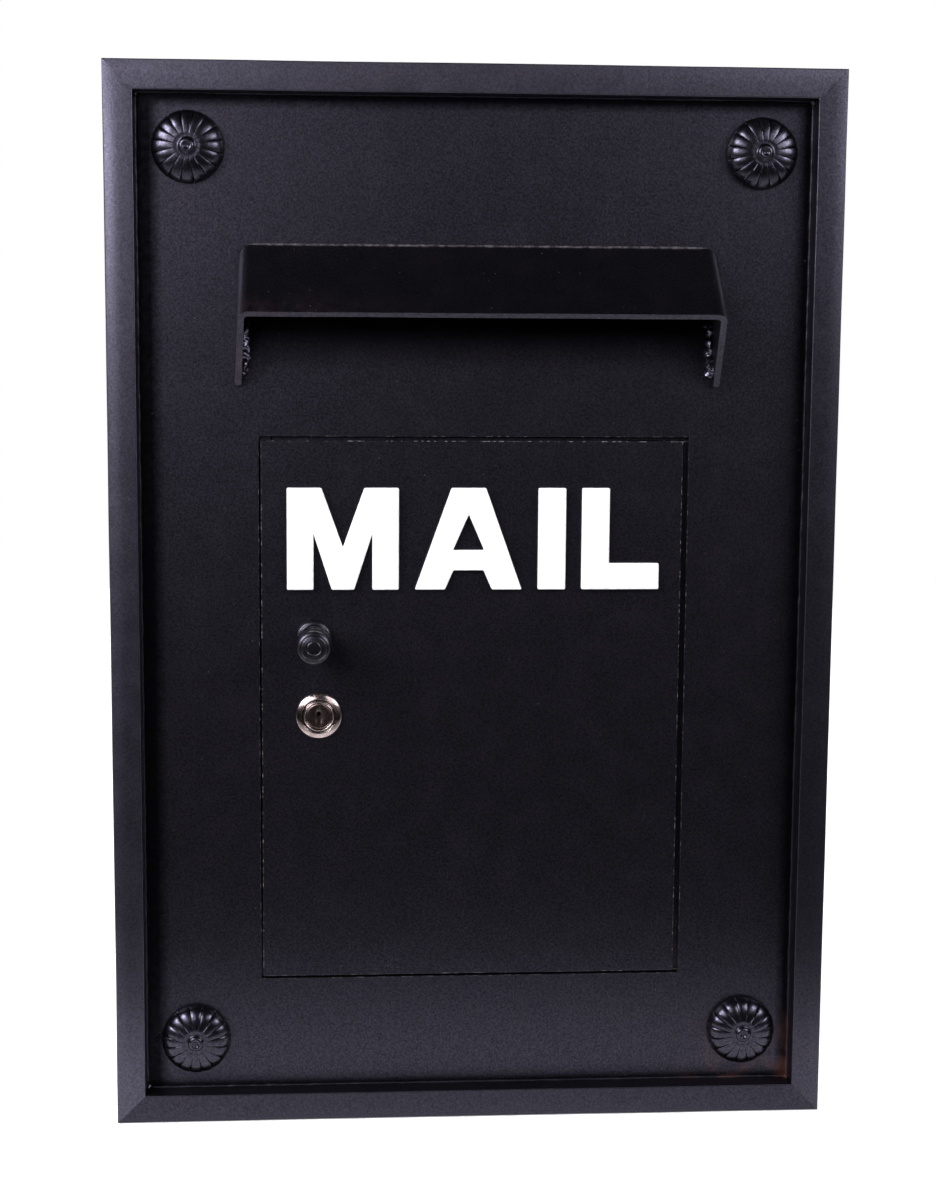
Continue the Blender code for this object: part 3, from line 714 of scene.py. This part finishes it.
@dataclass
class BarFrame(SubAssembly):
    """The frame: four sides of square bar, mitred, welded and dressed, and the bead inside them."""

    arris: float = 0.8 * MM
    outer_crowns: tuple[float, ...] = (0.35 * MM, 0.7 * MM, 1.5 * MM, 0.7 * MM)
    inner_crown: float = 0.15 * MM
    corner_crown: float = 0.5 * MM
    crown_run_out: float = 45 * MM
    wander: float = 0.16 * MM
    wander_length: float = 55 * MM
    stations: int = 56
    crown_steps: int = 10
    corner_lump: float = 2.0 * MM

    def __post_init__(self) -> None:
        """Reads the frame's outer size and its bar from the CAD nodes."""
        low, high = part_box("frame_top")
        self.bar = high.z - low.z
        self.front = low.y
        self.half_height = high.z
        self.half_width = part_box("frame_right")[1].x
        self.plate_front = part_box("front_plate")[0].y

    def section(self, outer_crown: float) -> Line:
        """The bar's section as (inwards, outwards from the wall).

        Args:
            outer_crown: how far its face falls back towards its outer edge.

        Returns:
            The section, with eased corners.
        """
        deep = -self.front
        crowned = []
        for step in range(self.crown_steps + 1):
            share = 1 - 2 * step / self.crown_steps
            drop = (outer_crown if share > 0 else self.inner_crown) * share**2
            crowned.append((self.bar * (1 - share) / 2, deep - drop))
        corners = [(self.bar / 2, 0), (0, 0), *crowned, (self.bar, 0), (self.bar / 2, 0)]
        return eased_line(corners, self.arris)[:-1]

    def sides(self) -> list[tuple[str, Vector, Vector, float, float]]:
        """Each side's name, its run, its inward direction, and half its length and its distance out."""
        across, up = Vector((1, 0, 0)), Vector((0, 0, 1))
        return [
            ("top", across, -up, self.half_width, self.half_height),
            ("bottom", -across, up, self.half_width, self.half_height),
            ("left", up, across, self.half_height, self.half_width),
            ("right", -up, -across, self.half_height, self.half_width),
        ]

    def wandered(self, point: Vector) -> Vector:
        """Moves a point by the unevenness of hand-dressed bar."""
        drift = noise.noise_vector(point / self.wander_length) * self.wander
        return point + drift

    def add_bars(self) -> None:
        """The four bars."""
        for (name, run, inward, half, out), outer_crown in zip(self.sides(), self.outer_crowns):
            rings = []
            for station in range(self.stations + 1):
                share = 2 * station / self.stations - 1
                away = min(1.0, max(0.0, half * (1 - abs(share)) / self.crown_run_out))
                blend = away * away * (3 - 2 * away)
                section = self.section(self.corner_crown + (outer_crown - self.corner_crown) * blend)
                rings.append([
                    run * share * (half - u) - inward * (out - u) + Vector((0, -v, 0)) for u, v in section
                ])
            form = Form.skin(rings).move(self.wandered)
            # The right and bottom bars take the duller copies of the paint as painted shade. The top and left bars
            # take the glossier copy as painted light.
            finish = {"bottom": LOW_BAR_SHADED_SATIN, "right": RIGHT_BAR_SHADED_SATIN}.get(name, BAR_SATIN)
            self.put(form, f"frame_bar_{name}", finish, Body.PLATE, f"frame_{name}")

    def inner_corners(self, inset: float) -> list[Vector]:
        """The corners of the frame's inside, that far in from the bar, on the plate's face."""
        x = self.half_width - self.bar - inset
        z = self.half_height - self.bar - inset
        return [Vector((a * x, self.plate_front, b * z)) for a, b in ((-1, -1), (1, -1), (1, 1), (-1, 1))]

    def add_welds(self) -> None:
        """The bead where the plate meets the bars, and a lump in each inner corner."""
        bead = WeldBead(radius=0.9 * MM)
        form = bead.form(self.inner_corners(0.1 * MM), OUTWARDS, looped=True)
        self.put(form, "frame_weld", SEAM, Body.PLATE)
        for number, corner in enumerate(self.inner_corners(0.6 * MM), 1):
            reach = Vector((0, -0.6 * self.corner_lump, 0))
            lump = WeldBead(radius=self.corner_lump, lumps=0.6, step=0.6 * MM, sides=14)
            form = lump.form([corner - reach, corner + reach * 3], Vector((1, 0, 0)))
            self.put(form, f"corner_weld_{number}", WELD_GLOSS, Body.PLATE)


@dataclass
class Panel(SubAssembly):
    """The front plate, with the stops and the keeper welded behind it."""

    edge: float = 0.45 * MM
    stop_edge: float = 0.4 * MM

    def add_plate(self) -> None:
        """The plate, its cut edges eased."""
        self.ease_nodes(self.edge, PLATE_SATIN, Body.PLATE, "front_plate")

    def add_stops(self) -> None:
        """The strips that the door closes on, with the weld in their corners, and the cam's keeper."""
        nodes = ("latch_side_stop", "top_stop", "bottom_stop", "lock_keeper")
        self.ease_nodes(self.stop_edge, SATIN, Body.PLATE, *nodes)
        bead = WeldBead(radius=1.2 * MM, lumps=0.3)
        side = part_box("latch_side_stop")[1].x
        for node in ("top_stop", "bottom_stop"):
            low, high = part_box(node)
            x = (side + low.x) / 2
            ends = [Vector((x, (low.y + high.y) / 2, z)) for z in (low.z, high.z)]
            form = bead.form(ends, Vector((0, 1, 0)))
            self.put(form, f"{node}_weld", WELD_GLOSS, Body.PLATE)


@dataclass
class Hood(SubAssembly):
    """The hood: a strip bent to a U and welded to the plate by its back edge and its legs."""

    slope: float = math.radians(42.4)
    splay: float = math.radians(3.0)
    strip: float = 46 * MM
    thick: float = 3 * MM
    bend: float = 5 * MM
    tip_cut: float = 3 * MM
    edge: float = 0.6 * MM
    bend_steps: int = 10
    top_steps: int = 30
    strip_steps: int = 6
    wander: float = 0.22 * MM
    wander_length: float = 40 * MM
    leg_weld_ends: tuple[float, float] = (1.5 * MM, 22 * MM)

    def __post_init__(self) -> None:
        """Reads where the hood sits from its CAD node."""
        low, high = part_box("letter_hood")
        self.leg = self.strip / math.tan(self.slope) - self.tip_cut
        self.lean = math.tan(self.splay)
        self.half = (high.x - low.x) / 2 - (self.leg - self.bend) * self.lean
        self.foot = Vector(((low.x + high.x) / 2, high.y, high.z))

    def bend_arc(self, side: int, radius: float) -> Line:
        """One bend's arc, from the end nearer the viewer's left."""
        centre_x = side * (self.half - self.bend)
        start = 180 if side < 0 else 270
        turns = (math.radians(start + 90 * step / self.bend_steps) for step in range(self.bend_steps + 1))
        return [(centre_x + radius * math.cos(a), self.bend + radius * math.sin(a)) for a in turns]

    def line(self, inset: float) -> Line:
        """The strip's outer line, or one that far inside it, from leg end to leg end."""
        left = self.bend_arc(-1, self.bend - inset)
        right = self.bend_arc(1, self.bend - inset)
        end = self.half + (self.leg - self.bend) * self.lean - inset
        across = [
            (left[-1][0] + (right[0][0] - left[-1][0]) * step / self.top_steps, left[-1][1])
            for step in range(1, self.top_steps)
        ]
        return [(-end, self.leg), *left, *across, *right, (end, self.leg)]

    def point(self, x: float, down: float, out: float) -> Vector:
        """A point of the strip, from how far it is down the legs and out along the slope."""
        slope_out = Vector((0, -math.cos(self.slope), -math.sin(self.slope)))
        along_leg = Vector((0, math.sin(self.slope), -math.cos(self.slope)))
        return self.foot + Vector((x, 0, 0)) + along_leg * down + slope_out * out

    def wandered(self, point: Vector) -> Vector:
        """Moves a point by the unevenness of a strip bent by hand."""
        away = min(1.0, max(0.0, (self.foot.y - point.y) / (5 * MM)))
        return point + noise.noise_vector(point / self.wander_length) * self.wander * away

    def on_plate(self, point: Vector) -> Vector:
        """Keeps a weld's point from reaching through the plate."""
        return Vector((point.x, min(point.y, self.foot.y + 1.2 * MM), point.z))

    def add_strip(self) -> None:
        """The bent strip."""
        outline = self.line(0) + self.line(self.thick)[::-1]
        rings = []
        for step in range(self.strip_steps + 1):
            share = step / self.strip_steps
            ring = []
            for x, down in outline:
                start = down * math.tan(self.slope)
                ring.append(self.point(x, down, start + (self.strip - start) * share))
            rings.append(ring)
        form = Form.skin(rings).ease(self.edge).move(self.wandered)
        self.keep(form.piece("hood_strip", HOOD_SATIN), HOOD_SATIN, Body.PLATE, "letter_hood")

    def add_welds(self) -> None:
        """The bead along the back edge, and the short ones inside the ends of the legs."""
        back = WeldBead(radius=0.62 * MM, lumps=0.35, ripple=0.08, step=1.0 * MM)
        reach = self.half - self.bend
        lift = Vector((0, -0.1 * MM, 0.25 * MM))
        ends = [self.foot + Vector((side * reach, 0, 0)) + lift for side in (-1, 1)]
        form = back.form(ends, OUTWARDS)
        # The back bead's lighter paint is partly rubbed paint and partly a painted highlight.
        self.put(form, "hood_back_weld", RUBBED_SEAM_PAINTED_HIGHLIGHT, Body.PLATE)
        leg_bead = WeldBead(radius=2.5 * MM, lumps=0.75, lump_length=3.0 * MM, step=0.6 * MM, sides=18)
        for name, side in (("left", -1), ("right", 1)):
            ends = []
            for down in (self.leg - up for up in self.leg_weld_ends):
                x = side * (self.half + (down - self.bend) * self.lean - self.thick - 0.9 * MM)
                ends.append(self.point(x, down, down * math.tan(self.slope) + 0.3 * MM))
            form = leg_bead.form(ends, OUTWARDS).move(self.on_plate)
            self.put(form, f"hood_leg_weld_{name}", LEG_WELD_GLOSS, Body.PLATE)


@dataclass
class Rosette(SubAssembly):
    """A cast rosette of sixteen petals round a dimpled boss, and the stud that holds it."""

    corner: str
    petals: int = 16
    groove: float = 0.70 * MM
    swell: float = 0.34 * MM
    rounding: float = 0.6 * MM
    dome: float = 0.87
    dome_steps: int = 18
    squareness: float = 0.74
    across: tuple[float, ...] = (-1, -0.96, -0.90, -0.78, -0.45, 0, 0.45, 0.78, 0.90, 0.96)
    boss: tuple[tuple[float, float], ...] = (
        (0.001, 0.90), (0.05, 0.90), (0.07, 0.94), (0.10, 0.99), (0.15, 1.0), (0.20, 0.95), (0.235, 0.83),
    )

    def line(self) -> Line:
        """The turned line under the petals, from the centre out, as shares of the CAD rosette's size."""
        low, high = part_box(f"rosette_{self.corner}")
        radius, height = (high.x - low.x) / 2, high.y - low.y
        arc = []
        for step in range(self.dome_steps + 1):
            turn = math.pi / 2 * (0.17 + 0.83 * step / self.dome_steps)
            out, up = (max(0.0, part) ** self.squareness for part in (math.sin(turn), math.cos(turn)))
            arc.append((out, self.dome * up))
        shares = [*self.boss, *arc, (0.001, 0.0)]
        return eased_line([(radius * a, height * b) for a, b in shares], self.rounding, 3)

    def reach(self, radius: float, outer: float) -> float:
        """How much of a petal's relief shows at a radius, from 0 to 1."""
        share = radius / outer
        inner = min(1.0, max(0.0, (share - 0.25) / 0.55)) ** 1.8
        rim = 1.0 - 0.6 * min(1.0, max(0.0, (share - 0.90) / 0.10))
        return inner * rim

    def add_casting(self) -> None:
        """The casting, on the plate's face."""
        low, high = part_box(f"rosette_{self.corner}")
        centre = Vector(((low.x + high.x) / 2, high.y, (low.z + high.z) / 2))
        line = self.line()
        outer = max(radius for radius, _ in line)
        rings = []
        for i, (radius, height) in enumerate(line):
            before, after = line[max(i - 1, 0)], line[min(i + 1, len(line) - 1)]
            run = Vector((after[0] - before[0], after[1] - before[1]))
            normal = Vector((-run.y, run.x)).normalized() if run.length else Vector((0, 1))
            reach = self.reach(radius, outer) if height > 0.001 else 0.0
            ring = []
            for petal in range(self.petals):
                for spot in self.across:
                    gap = max(0.0, (abs(spot) - 0.88) / 0.12) ** 1.3
                    rise = -(self.swell * spot**2 + self.groove * gap) * reach
                    angle = FULL_TURN * (petal + spot / 2) / self.petals
                    r = radius + normal.x * rise
                    x, y = r * math.cos(angle), r * math.sin(angle)
                    ring.append(Vector((x, y, height + normal.y * rise)))
            rings.append(ring)
        form = Form.skin(rings).placed(centre, Facing.FRONT)
        name = f"rosette_petals_{self.corner}"
        self.put(form, name, CAST_GLOSS, Body.PLATE, f"rosette_{self.corner}")

    def add_fixings(self) -> None:
        """The threaded stud behind the plate, with its washer and nut."""
        low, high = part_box(f"rosette_stud_{self.corner}")
        rod = Thread((high.x - low.x) / 2).form(high.y - low.y)
        foot = ((low.x + high.x) / 2, low.y, (low.z + high.z) / 2)
        rod.placed(foot, Facing.BACK)
        self.put(rod, f"threaded_stud_{self.corner}", ZINC, Body.PLATE, f"rosette_stud_{self.corner}")
        self.ease_nodes(WASHER_EDGE, ZINC, Body.PLATE, f"stud_washer_{self.corner}")
        HexNut(f"stud_nut_{self.corner}").add(self, Facing.BACK, Body.PLATE)


@dataclass
class Thread:
    """A screw thread, as a rod round Z."""

    radius: float
    pitch: float = 1.0 * MM
    depth: float = 0.45 * MM
    count: int = 32
    per_turn: int = 6

    def line_at(self, height: float, length: float) -> list[Vector]:
        """The ring of the thread at one height."""
        near_end = min(height, length - height)
        ends = max(0.0, 1 - near_end / self.pitch)
        ring = []
        for step in range(self.count):
            turn = step / self.count
            phase = (height / self.pitch - turn) % 1.0
            cut = self.depth * abs(2 * phase - 1)
            radius = self.radius - max(cut, ends * self.depth)
            angle = FULL_TURN * turn
            ring.append(Vector((radius * math.cos(angle), radius * math.sin(angle), height)))
        return ring

    def form(self, length: float) -> Form:
        """A rod of that length."""
        rows = round(length / self.pitch * self.per_turn)
        return Form.skin([self.line_at(length * row / rows, length) for row in range(rows + 1)])


@dataclass
class HexNut:
    """A chamfered hexagon nut in place of a CAD one."""

    node: str
    bore: float = 3.3 * MM
    count: int = 48
    chamfer: float = math.radians(28)

    def radius_at(self, angle: float, flats: float) -> float:
        """The distance to the side of a hexagon."""
        from_flat = (angle + math.pi / 6) % (math.pi / 3) - math.pi / 6
        return flats / 2 / math.cos(from_flat)

    def form(self, flats: float, thick: float) -> Form:
        """The nut round Z, from 0 to its thickness."""
        bevelled = self.bore + 0.3 * MM
        face = flats / 2 * 0.97
        sides: list[list[Vector]] = [[], []]
        for step in range(self.count):
            angle = FULL_TURN * step / self.count
            radius = self.radius_at(angle, flats)
            drop = (radius - face) * math.tan(self.chamfer)
            for side, height in zip(sides, (drop, thick - drop)):
                side.append(Vector((radius * math.cos(angle), radius * math.sin(angle), height)))
        rings = [
            circle(self.bore, 0.3 * MM, self.count),
            circle(bevelled, 0, self.count),
            circle(face, 0, self.count),
            *sides,
            circle(face, thick, self.count),
            circle(bevelled, thick, self.count),
            circle(self.bore, thick - 0.3 * MM, self.count),
        ]
        return Form.skin(rings, looped=True)

    def add(self, unit: SubAssembly, facing: Facing, body: Body) -> None:
        """Puts the nut where its CAD node is."""
        low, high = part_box(self.node)
        size = high - low
        foot = (low + high) / 2
        if facing is Facing.UP:
            thick, flats, foot.z = size.z, size.y, low.z
        else:
            thick, flats, foot.y = size.y, size.z, low.y
        form = self.form(min(flats, size.x), thick).placed(foot, facing)
        piece = form.piece(f"{self.node}_chamfered", ZINC)
        unit.keep(piece, ZINC, body, self.node)


@dataclass
class Door(SubAssembly):
    """The door leaf, its gap cover and its raised letters."""

    leaf_edge: float = 0.40 * MM
    letter_edge: float = 0.75 * MM
    under_bracket: float = 0.2 * MM
    behind_cover: float = 0.35 * MM

    def add_leaf(self) -> None:
        """The leaf, the strip behind its hinge gap, and the welds that close the gap's ends."""
        self.ease_nodes(self.leaf_edge, DOOR_SATIN, Body.DOOR, "door_leaf")
        self.ease_nodes(self.leaf_edge / 2, DOOR_SATIN, Body.DOOR, "hinge_gap_cover")
        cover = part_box("hinge_gap_cover")[1]
        bead = WeldBead(radius=0.95 * MM, lumps=0.03, ripple=0.0, step=0.3 * MM, sides=24, end_steps=0.6)
        y = cover.y - bead.radius + self.behind_cover
        for end, side in (("upper", 1), ("lower", -1)):
            low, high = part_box(f"hinge_bracket_{end}")
            z = (low.z if side > 0 else high.z) - side * (bead.radius + self.under_bracket)
            ends = [Vector((x, y, z)) for x in (low.x, cover.x - 1 * MM)]
            form = bead.form(ends, OUTWARDS)
            self.put(form, f"door_edge_weld_{end}", WELD_GLOSS, Body.DOOR)

    def add_letters(self) -> None:
        """The letters, their edges rounded."""
        for letter in "mail":
            form = Form.of_node(f"letter_{letter}").ease(self.letter_edge, 3)
            piece = form.piece(f"raised_letter_{letter}", WHITE)
            self.keep(piece, WHITE, Body.DOOR, f"letter_{letter}")


@dataclass
class Knob(SubAssembly):
    """The turned pull knob and its screw."""

    rounding: float = 0.45 * MM
    swell: float = 1.05
    count: int = 72
    shares: tuple[tuple[float, float], ...] = (
        (0.001, 0.0), (1.0, 0.0), (1.0, 0.07), (0.90, 0.095), (0.76, 0.105), (0.72, 0.145), (0.80, 0.17),
        (0.80, 0.205), (0.72, 0.225), (0.69, 0.30), (0.71, 0.39), (0.80, 0.45), (0.93, 0.50),
        (0.97, 0.53), (0.97, 0.59), (0.88, 0.62), (0.84, 0.65), (0.84, 0.69), (0.91, 0.72), (0.94, 0.76), (0.94, 0.91),
        (0.88, 0.955), (0.74, 0.975), (0.70, 0.968), (0.66, 0.980), (0.42, 0.995), (0.38, 0.988),
        (0.34, 0.997), (0.001, 1.0),
    )

    def add_knob(self) -> None:
        """The knob."""
        low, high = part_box("pull_knob")
        radius, length = (high.x - low.x) / 2 * self.swell, high.y - low.y
        line = eased_line([(radius * a, length * b) for a, b in self.shares], self.rounding)
        foot = ((low.x + high.x) / 2, high.y, (low.z + high.z) / 2)
        form = Form.turned(line, self.count).placed(foot, Facing.FRONT)
        self.put(form, "turned_knob", KNOB_SATIN, Body.DOOR, "pull_knob")

    def add_fixings(self) -> None:
        """The washer and the screw behind the door."""
        self.ease_nodes(WASHER_EDGE, ZINC, Body.DOOR, "knob_washer")
        self.ease_nodes(SCREW_EDGE, ZINC, Body.DOOR, "knob_screw")


@dataclass
class CamLock(SubAssembly):
    """The cam lock: its case, plug, cam and fasteners."""

    rounding: float = 0.22 * MM
    count: int = 96
    keyway_width: float = 1.9 * MM
    keyway_height: float = 6.8 * MM
    keyway_top: float = 2.2 * MM
    shutter_depth: float = 0.7 * MM
    open_height: float = 1.9 * MM
    dish: float = 0.7 * MM
    cam_edge: float = 0.3 * MM
    nut_edge: float = 0.35 * MM
    face_steps: int = 14

    def add_case(self) -> None:
        """The case, with its bevelled head and its barrel."""
        low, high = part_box("lock_barrel")
        radius = (high.x - low.x) / 2
        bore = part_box("lock_plug")[1].x - (low.x + high.x) / 2 + 0.2 * MM
        face_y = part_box("door_leaf")[0].y
        head = face_y - low.y
        back = high.y - face_y
        shares = (
            (bore, -back), (bore, head - 0.5 * MM), (bore + 0.45 * MM, head),
            (bore + 0.95 * MM, head - 0.45 * MM), (bore + 1.0 * MM, head - 1.1 * MM),
            (radius - 3.0 * MM, head - 1.1 * MM), (radius - 2.85 * MM, head - 0.35 * MM),
            (radius - 0.5 * MM, head * 0.52), (radius, head * 0.30),
            (radius, 0.3 * MM), (radius * 0.79, 0.3 * MM), (radius * 0.79, -back),
        )
        form = Form.turned(eased_line(list(shares), self.rounding, 3), self.count, looped=True)
        foot = ((low.x + high.x) / 2, face_y, (low.z + high.z) / 2)
        self.put(form.placed(foot, Facing.FRONT), "lock_case", NICKEL, Body.DOOR, "lock_barrel")

    def add_fixings(self) -> None:
        """The washer and nut on the barrel."""
        self.ease_nodes(WASHER_EDGE, ZINC, Body.DOOR, "lock_washer")
        self.ease_nodes(self.nut_edge, ZINC, Body.DOOR, "lock_nut")

    def keyway_cutter(
        self, centre: Vector, height: float, depth: float, finish: Finish
    ) -> bpy.types.Object:
        """A block that cuts a keyway, down from its upper end.

        Args:
            centre: the middle of the plug's face.
            height: how far down it runs.
            depth: how far into the plug it cuts.
            finish: what its cuts look like.

        Returns:
            The block.
        """
        half, top = self.keyway_width / 2, self.keyway_top
        rings = []
        for y in (centre.y - 1 * MM, centre.y + depth):
            rings.append([
                Vector((centre.x + x, y, centre.z + z))
                for x, z in ((-half, top), (half, top), (half, top - height), (-half, top - height))
            ])
        return Form.skin(rings).piece("keyway_cutter", finish, even=False)

    def add_plug(self) -> None:
        """The plug, dished and cut for the key, with a shutter in the lower part of the keyway."""
        low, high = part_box("lock_plug")
        radius, length = (high.x - low.x) / 2, high.y - low.y
        centre = Vector(((low.x + high.x) / 2, low.y, (low.z + high.z) / 2))
        line = [(0.001 * MM + radius * step / self.face_steps, 0.0) for step in range(self.face_steps)]
        line += [(radius, -0.3 * MM), (radius, -length), (0.001 * MM, -length)]
        form = Form.turned(line, self.count).placed(centre, Facing.FRONT)

        def dished(point: Vector) -> Vector:
            """Sinks the face round the keyway."""
            if point.y > centre.y + 0.05 * MM:
                return point
            x, z = (point.x - centre.x) / (1.9 * MM), (point.z - centre.z + 0.2 * MM) / (3.6 * MM)
            sink = self.dish * math.exp(-(x * x + z * z) ** 1.5)
            return point + Vector((0, sink, 0))

        piece = form.move(dished).piece("lock_plug_face", WORN_NICKEL, even=False)
        carve(piece, self.keyway_cutter(centre, self.keyway_height, self.shutter_depth, WORN_NICKEL))
        # The open keyway's walls take the dark paint, as painted shade.
        carve(piece, self.keyway_cutter(centre, self.open_height, length * 0.5, KEYWAY_PAINTED_SHADE))
        self.keep(piece, WORN_NICKEL, Body.CYLINDER, "lock_plug")

    def add_cam(self) -> None:
        """The cam with its washer and screw."""
        self.ease_nodes(self.cam_edge, ZINC, Body.CYLINDER, "lock_cam")
        self.ease_nodes(WASHER_EDGE, ZINC, Body.CYLINDER, "cam_washer")
        self.ease_nodes(SCREW_EDGE, ZINC, Body.CYLINDER, "cam_screw")


@dataclass
class Pivot(SubAssembly):
    """One of the door's two pivots."""

    end: str
    edge: float = 0.5 * MM
    bracket_edge: float = 0.15 * MM
    bolt_edge: float = 0.3 * MM

    def add(self) -> None:
        """The bracket and its weld, and the lug, bush, bolt and nut."""
        self.ease_nodes(self.bracket_edge, SATIN, Body.PLATE, f"hinge_bracket_{self.end}")
        low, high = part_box(f"hinge_bracket_{self.end}")
        side = 1 if self.end == "upper" else -1
        z = (low.z if side > 0 else high.z) + side * 0.06 * MM
        bead = WeldBead(radius=0.2 * MM, lumps=0.1, ripple=0.0, step=0.3 * MM, end_steps=0.6)
        ends = [Vector((x, low.y - 0.35 * MM, z)) for x in (low.x - 1 * MM, high.x - 0.3 * MM)]
        form = bead.form(ends, OUTWARDS)
        self.put(form, f"bracket_weld_{self.end}", WELD_GLOSS, Body.PLATE)
        self.ease_nodes(self.edge, DOOR_SATIN, Body.DOOR, f"door_lug_{self.end}")
        self.ease_nodes(WASHER_EDGE, ZINC, Body.PLATE, f"hinge_bush_{self.end}")
        self.ease_nodes(self.bolt_edge, ZINC, Body.PLATE, f"hinge_bolt_{self.end}")
        HexNut(f"hinge_nut_{self.end}").add(self, Facing.UP, Body.PLATE)


def around(turn: float, rise: float, distance: float) -> Point:
    """A place in front of the plate.

    Args:
        turn: how many degrees to the viewer's right of straight ahead.
        rise: how many degrees up.
        distance: how far from the plate's middle.

    Returns:
        The place.
    """
    turn, rise = math.radians(turn), math.radians(rise)
    level = distance * math.cos(rise)
    return (level * math.sin(turn), -level * math.cos(turn), distance * math.sin(rise))


@dataclass
class SoftLight:
    """A square soft light that points at the plate's middle, or at another place."""

    name: str
    place: Point
    size: float
    watts: float
    colour: Colour = (1.0, 0.98, 1.0)
    aim: Point = (0.0, 0.0, 0.0)

    def add(self) -> None:
        """Makes the light."""
        data = bpy.data.lights.new(self.name, "AREA")
        data.shape = "SQUARE"
        data.size = self.size
        data.energy = self.watts
        data.color = self.colour
        lamp = bpy.data.objects.new(self.name, data)
        lamp.location = self.place
        lamp.rotation_euler = (Vector(self.aim) - Vector(self.place)).to_track_quat("-Z", "Y").to_euler()
        bpy.context.scene.collection.objects.link(lamp)


@dataclass
class Studio:
    """The camera, the lights, the pale floor and the surroundings."""

    eye: Point = (-0.0796, -1.0632, 0.1512)
    forward: Point = (0.07165, 0.98771, -0.13888)
    roll: float = math.radians(0.42)
    lens: float = 66.12
    floor_radius: float = 1.1
    floor_back: float = 0.925
    floor_gap: float = 0.4 * MM
    lights: tuple[SoftLight, ...] = (
        SoftLight("key_light", around(-50, 27, 1.3), 0.60, 23.0),
        SoftLight("second_light", around(52, 24, 1.4), 0.55, 12.0),
        SoftLight("key_fill", around(-24, 20, 1.2), 0.45, 3.0),
        SoftLight("second_fill", around(30, 26, 1.2), 0.45, 2.0),
        SoftLight("floor_light", (0.0, 1.6, 1.6), 1.8, 45.0, (1.0, 1.0, 1.0), (0.0, 0.3, -0.25)),
    )
    surround: tuple[float, float] = (0.004, 1.0)
    bright_from: tuple[float, float] = (-0.20, 0.30)
    dim_from: tuple[float, float] = (0.45, 0.80)
    behind: float = 0.12
    overhead_shade: float = 1.3

    def add_camera(self) -> None:
        """The camera, as a portrait view with a long lens."""
        forward = Vector(self.forward).normalized()
        level = forward.cross(Vector((0, 0, 1))).normalized()
        upright = level.cross(forward)
        right = level * math.cos(self.roll) + upright * math.sin(self.roll)
        up = right.cross(forward)
        data = bpy.data.cameras.new("view")
        data.lens = self.lens
        camera = bpy.data.objects.new("view", data)
        turn = Matrix((right, up, -forward)).transposed().to_4x4()
        camera.matrix_world = Matrix.Translation(Vector(self.eye)) @ turn
        bpy.context.scene.collection.objects.link(camera)
        bpy.context.scene.camera = camera

    def add_floor(self) -> None:
        """A round pale floor just under the plate."""
        low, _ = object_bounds()
        rings = [
            circle(self.floor_radius, low.z - self.floor_gap - depth, 96) for depth in (0.0, 0.01)
        ]
        form = Form.skin(rings).move(lambda point: point + Vector((0, self.floor_back, 0)))
        floor = form.piece("pale_floor", Plaster(), even=False)
        floor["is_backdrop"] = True

    def add_surroundings(self) -> None:
        """White where the camera sees past the floor, and dim in what the plate reflects."""
        world = bpy.data.worlds.new("surroundings")
        bpy.context.scene.world = world
        world.use_nodes = True
        nodes = Nodes(world.node_tree, "Generated")
        low = nodes.maths("MULTIPLY_ADD", nodes.axis("Z"), -self.overhead_shade, nodes.axis("Y"))
        spread = nodes.between(low, *self.bright_from, self.surround)
        behind = nodes.between(nodes.axis("Y"), *self.dim_from, (1.0, self.behind))
        in_view = nodes.add("ShaderNodeLightPath").outputs["Is Camera Ray"]
        strength = nodes.maths("MAXIMUM", nodes.times(spread, behind), in_view)
        white = world.node_tree.nodes["Background"].inputs
        nodes.feed(white["Color"], (1.0, 1.0, 1.0))
        nodes.feed(white["Strength"], strength)
        bpy.context.scene.view_settings.view_transform = "Standard"

    def add(self) -> None:
        """Everything that isn't the object."""
        self.add_camera()
        self.add_floor()
        self.add_surroundings()
        for light in self.lights:
            light.add()


def main() -> None:
    """Builds the looks of the whole plate."""
    logging.basicConfig(level=logging.INFO, format="%(message)s")
    noise.seed_set(WANDER_SEED)
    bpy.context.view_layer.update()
    bars = BarFrame()
    bars.add_bars()
    bars.add_welds()
    panel = Panel()
    panel.add_plate()
    panel.add_stops()
    hood = Hood()
    hood.add_strip()
    hood.add_welds()
    for corner in ("top_left", "top_right", "bottom_left", "bottom_right"):
        rosette = Rosette(corner)
        rosette.add_casting()
        rosette.add_fixings()
    door = Door()
    door.add_leaf()
    door.add_letters()
    knob = Knob()
    knob.add_knob()
    knob.add_fixings()
    lock = CamLock()
    lock.add_case()
    lock.add_fixings()
    lock.add_plug()
    lock.add_cam()
    for end in ("upper", "lower"):
        Pivot(end).add()
    Studio().add()


if __name__ == "__main__":
    main()
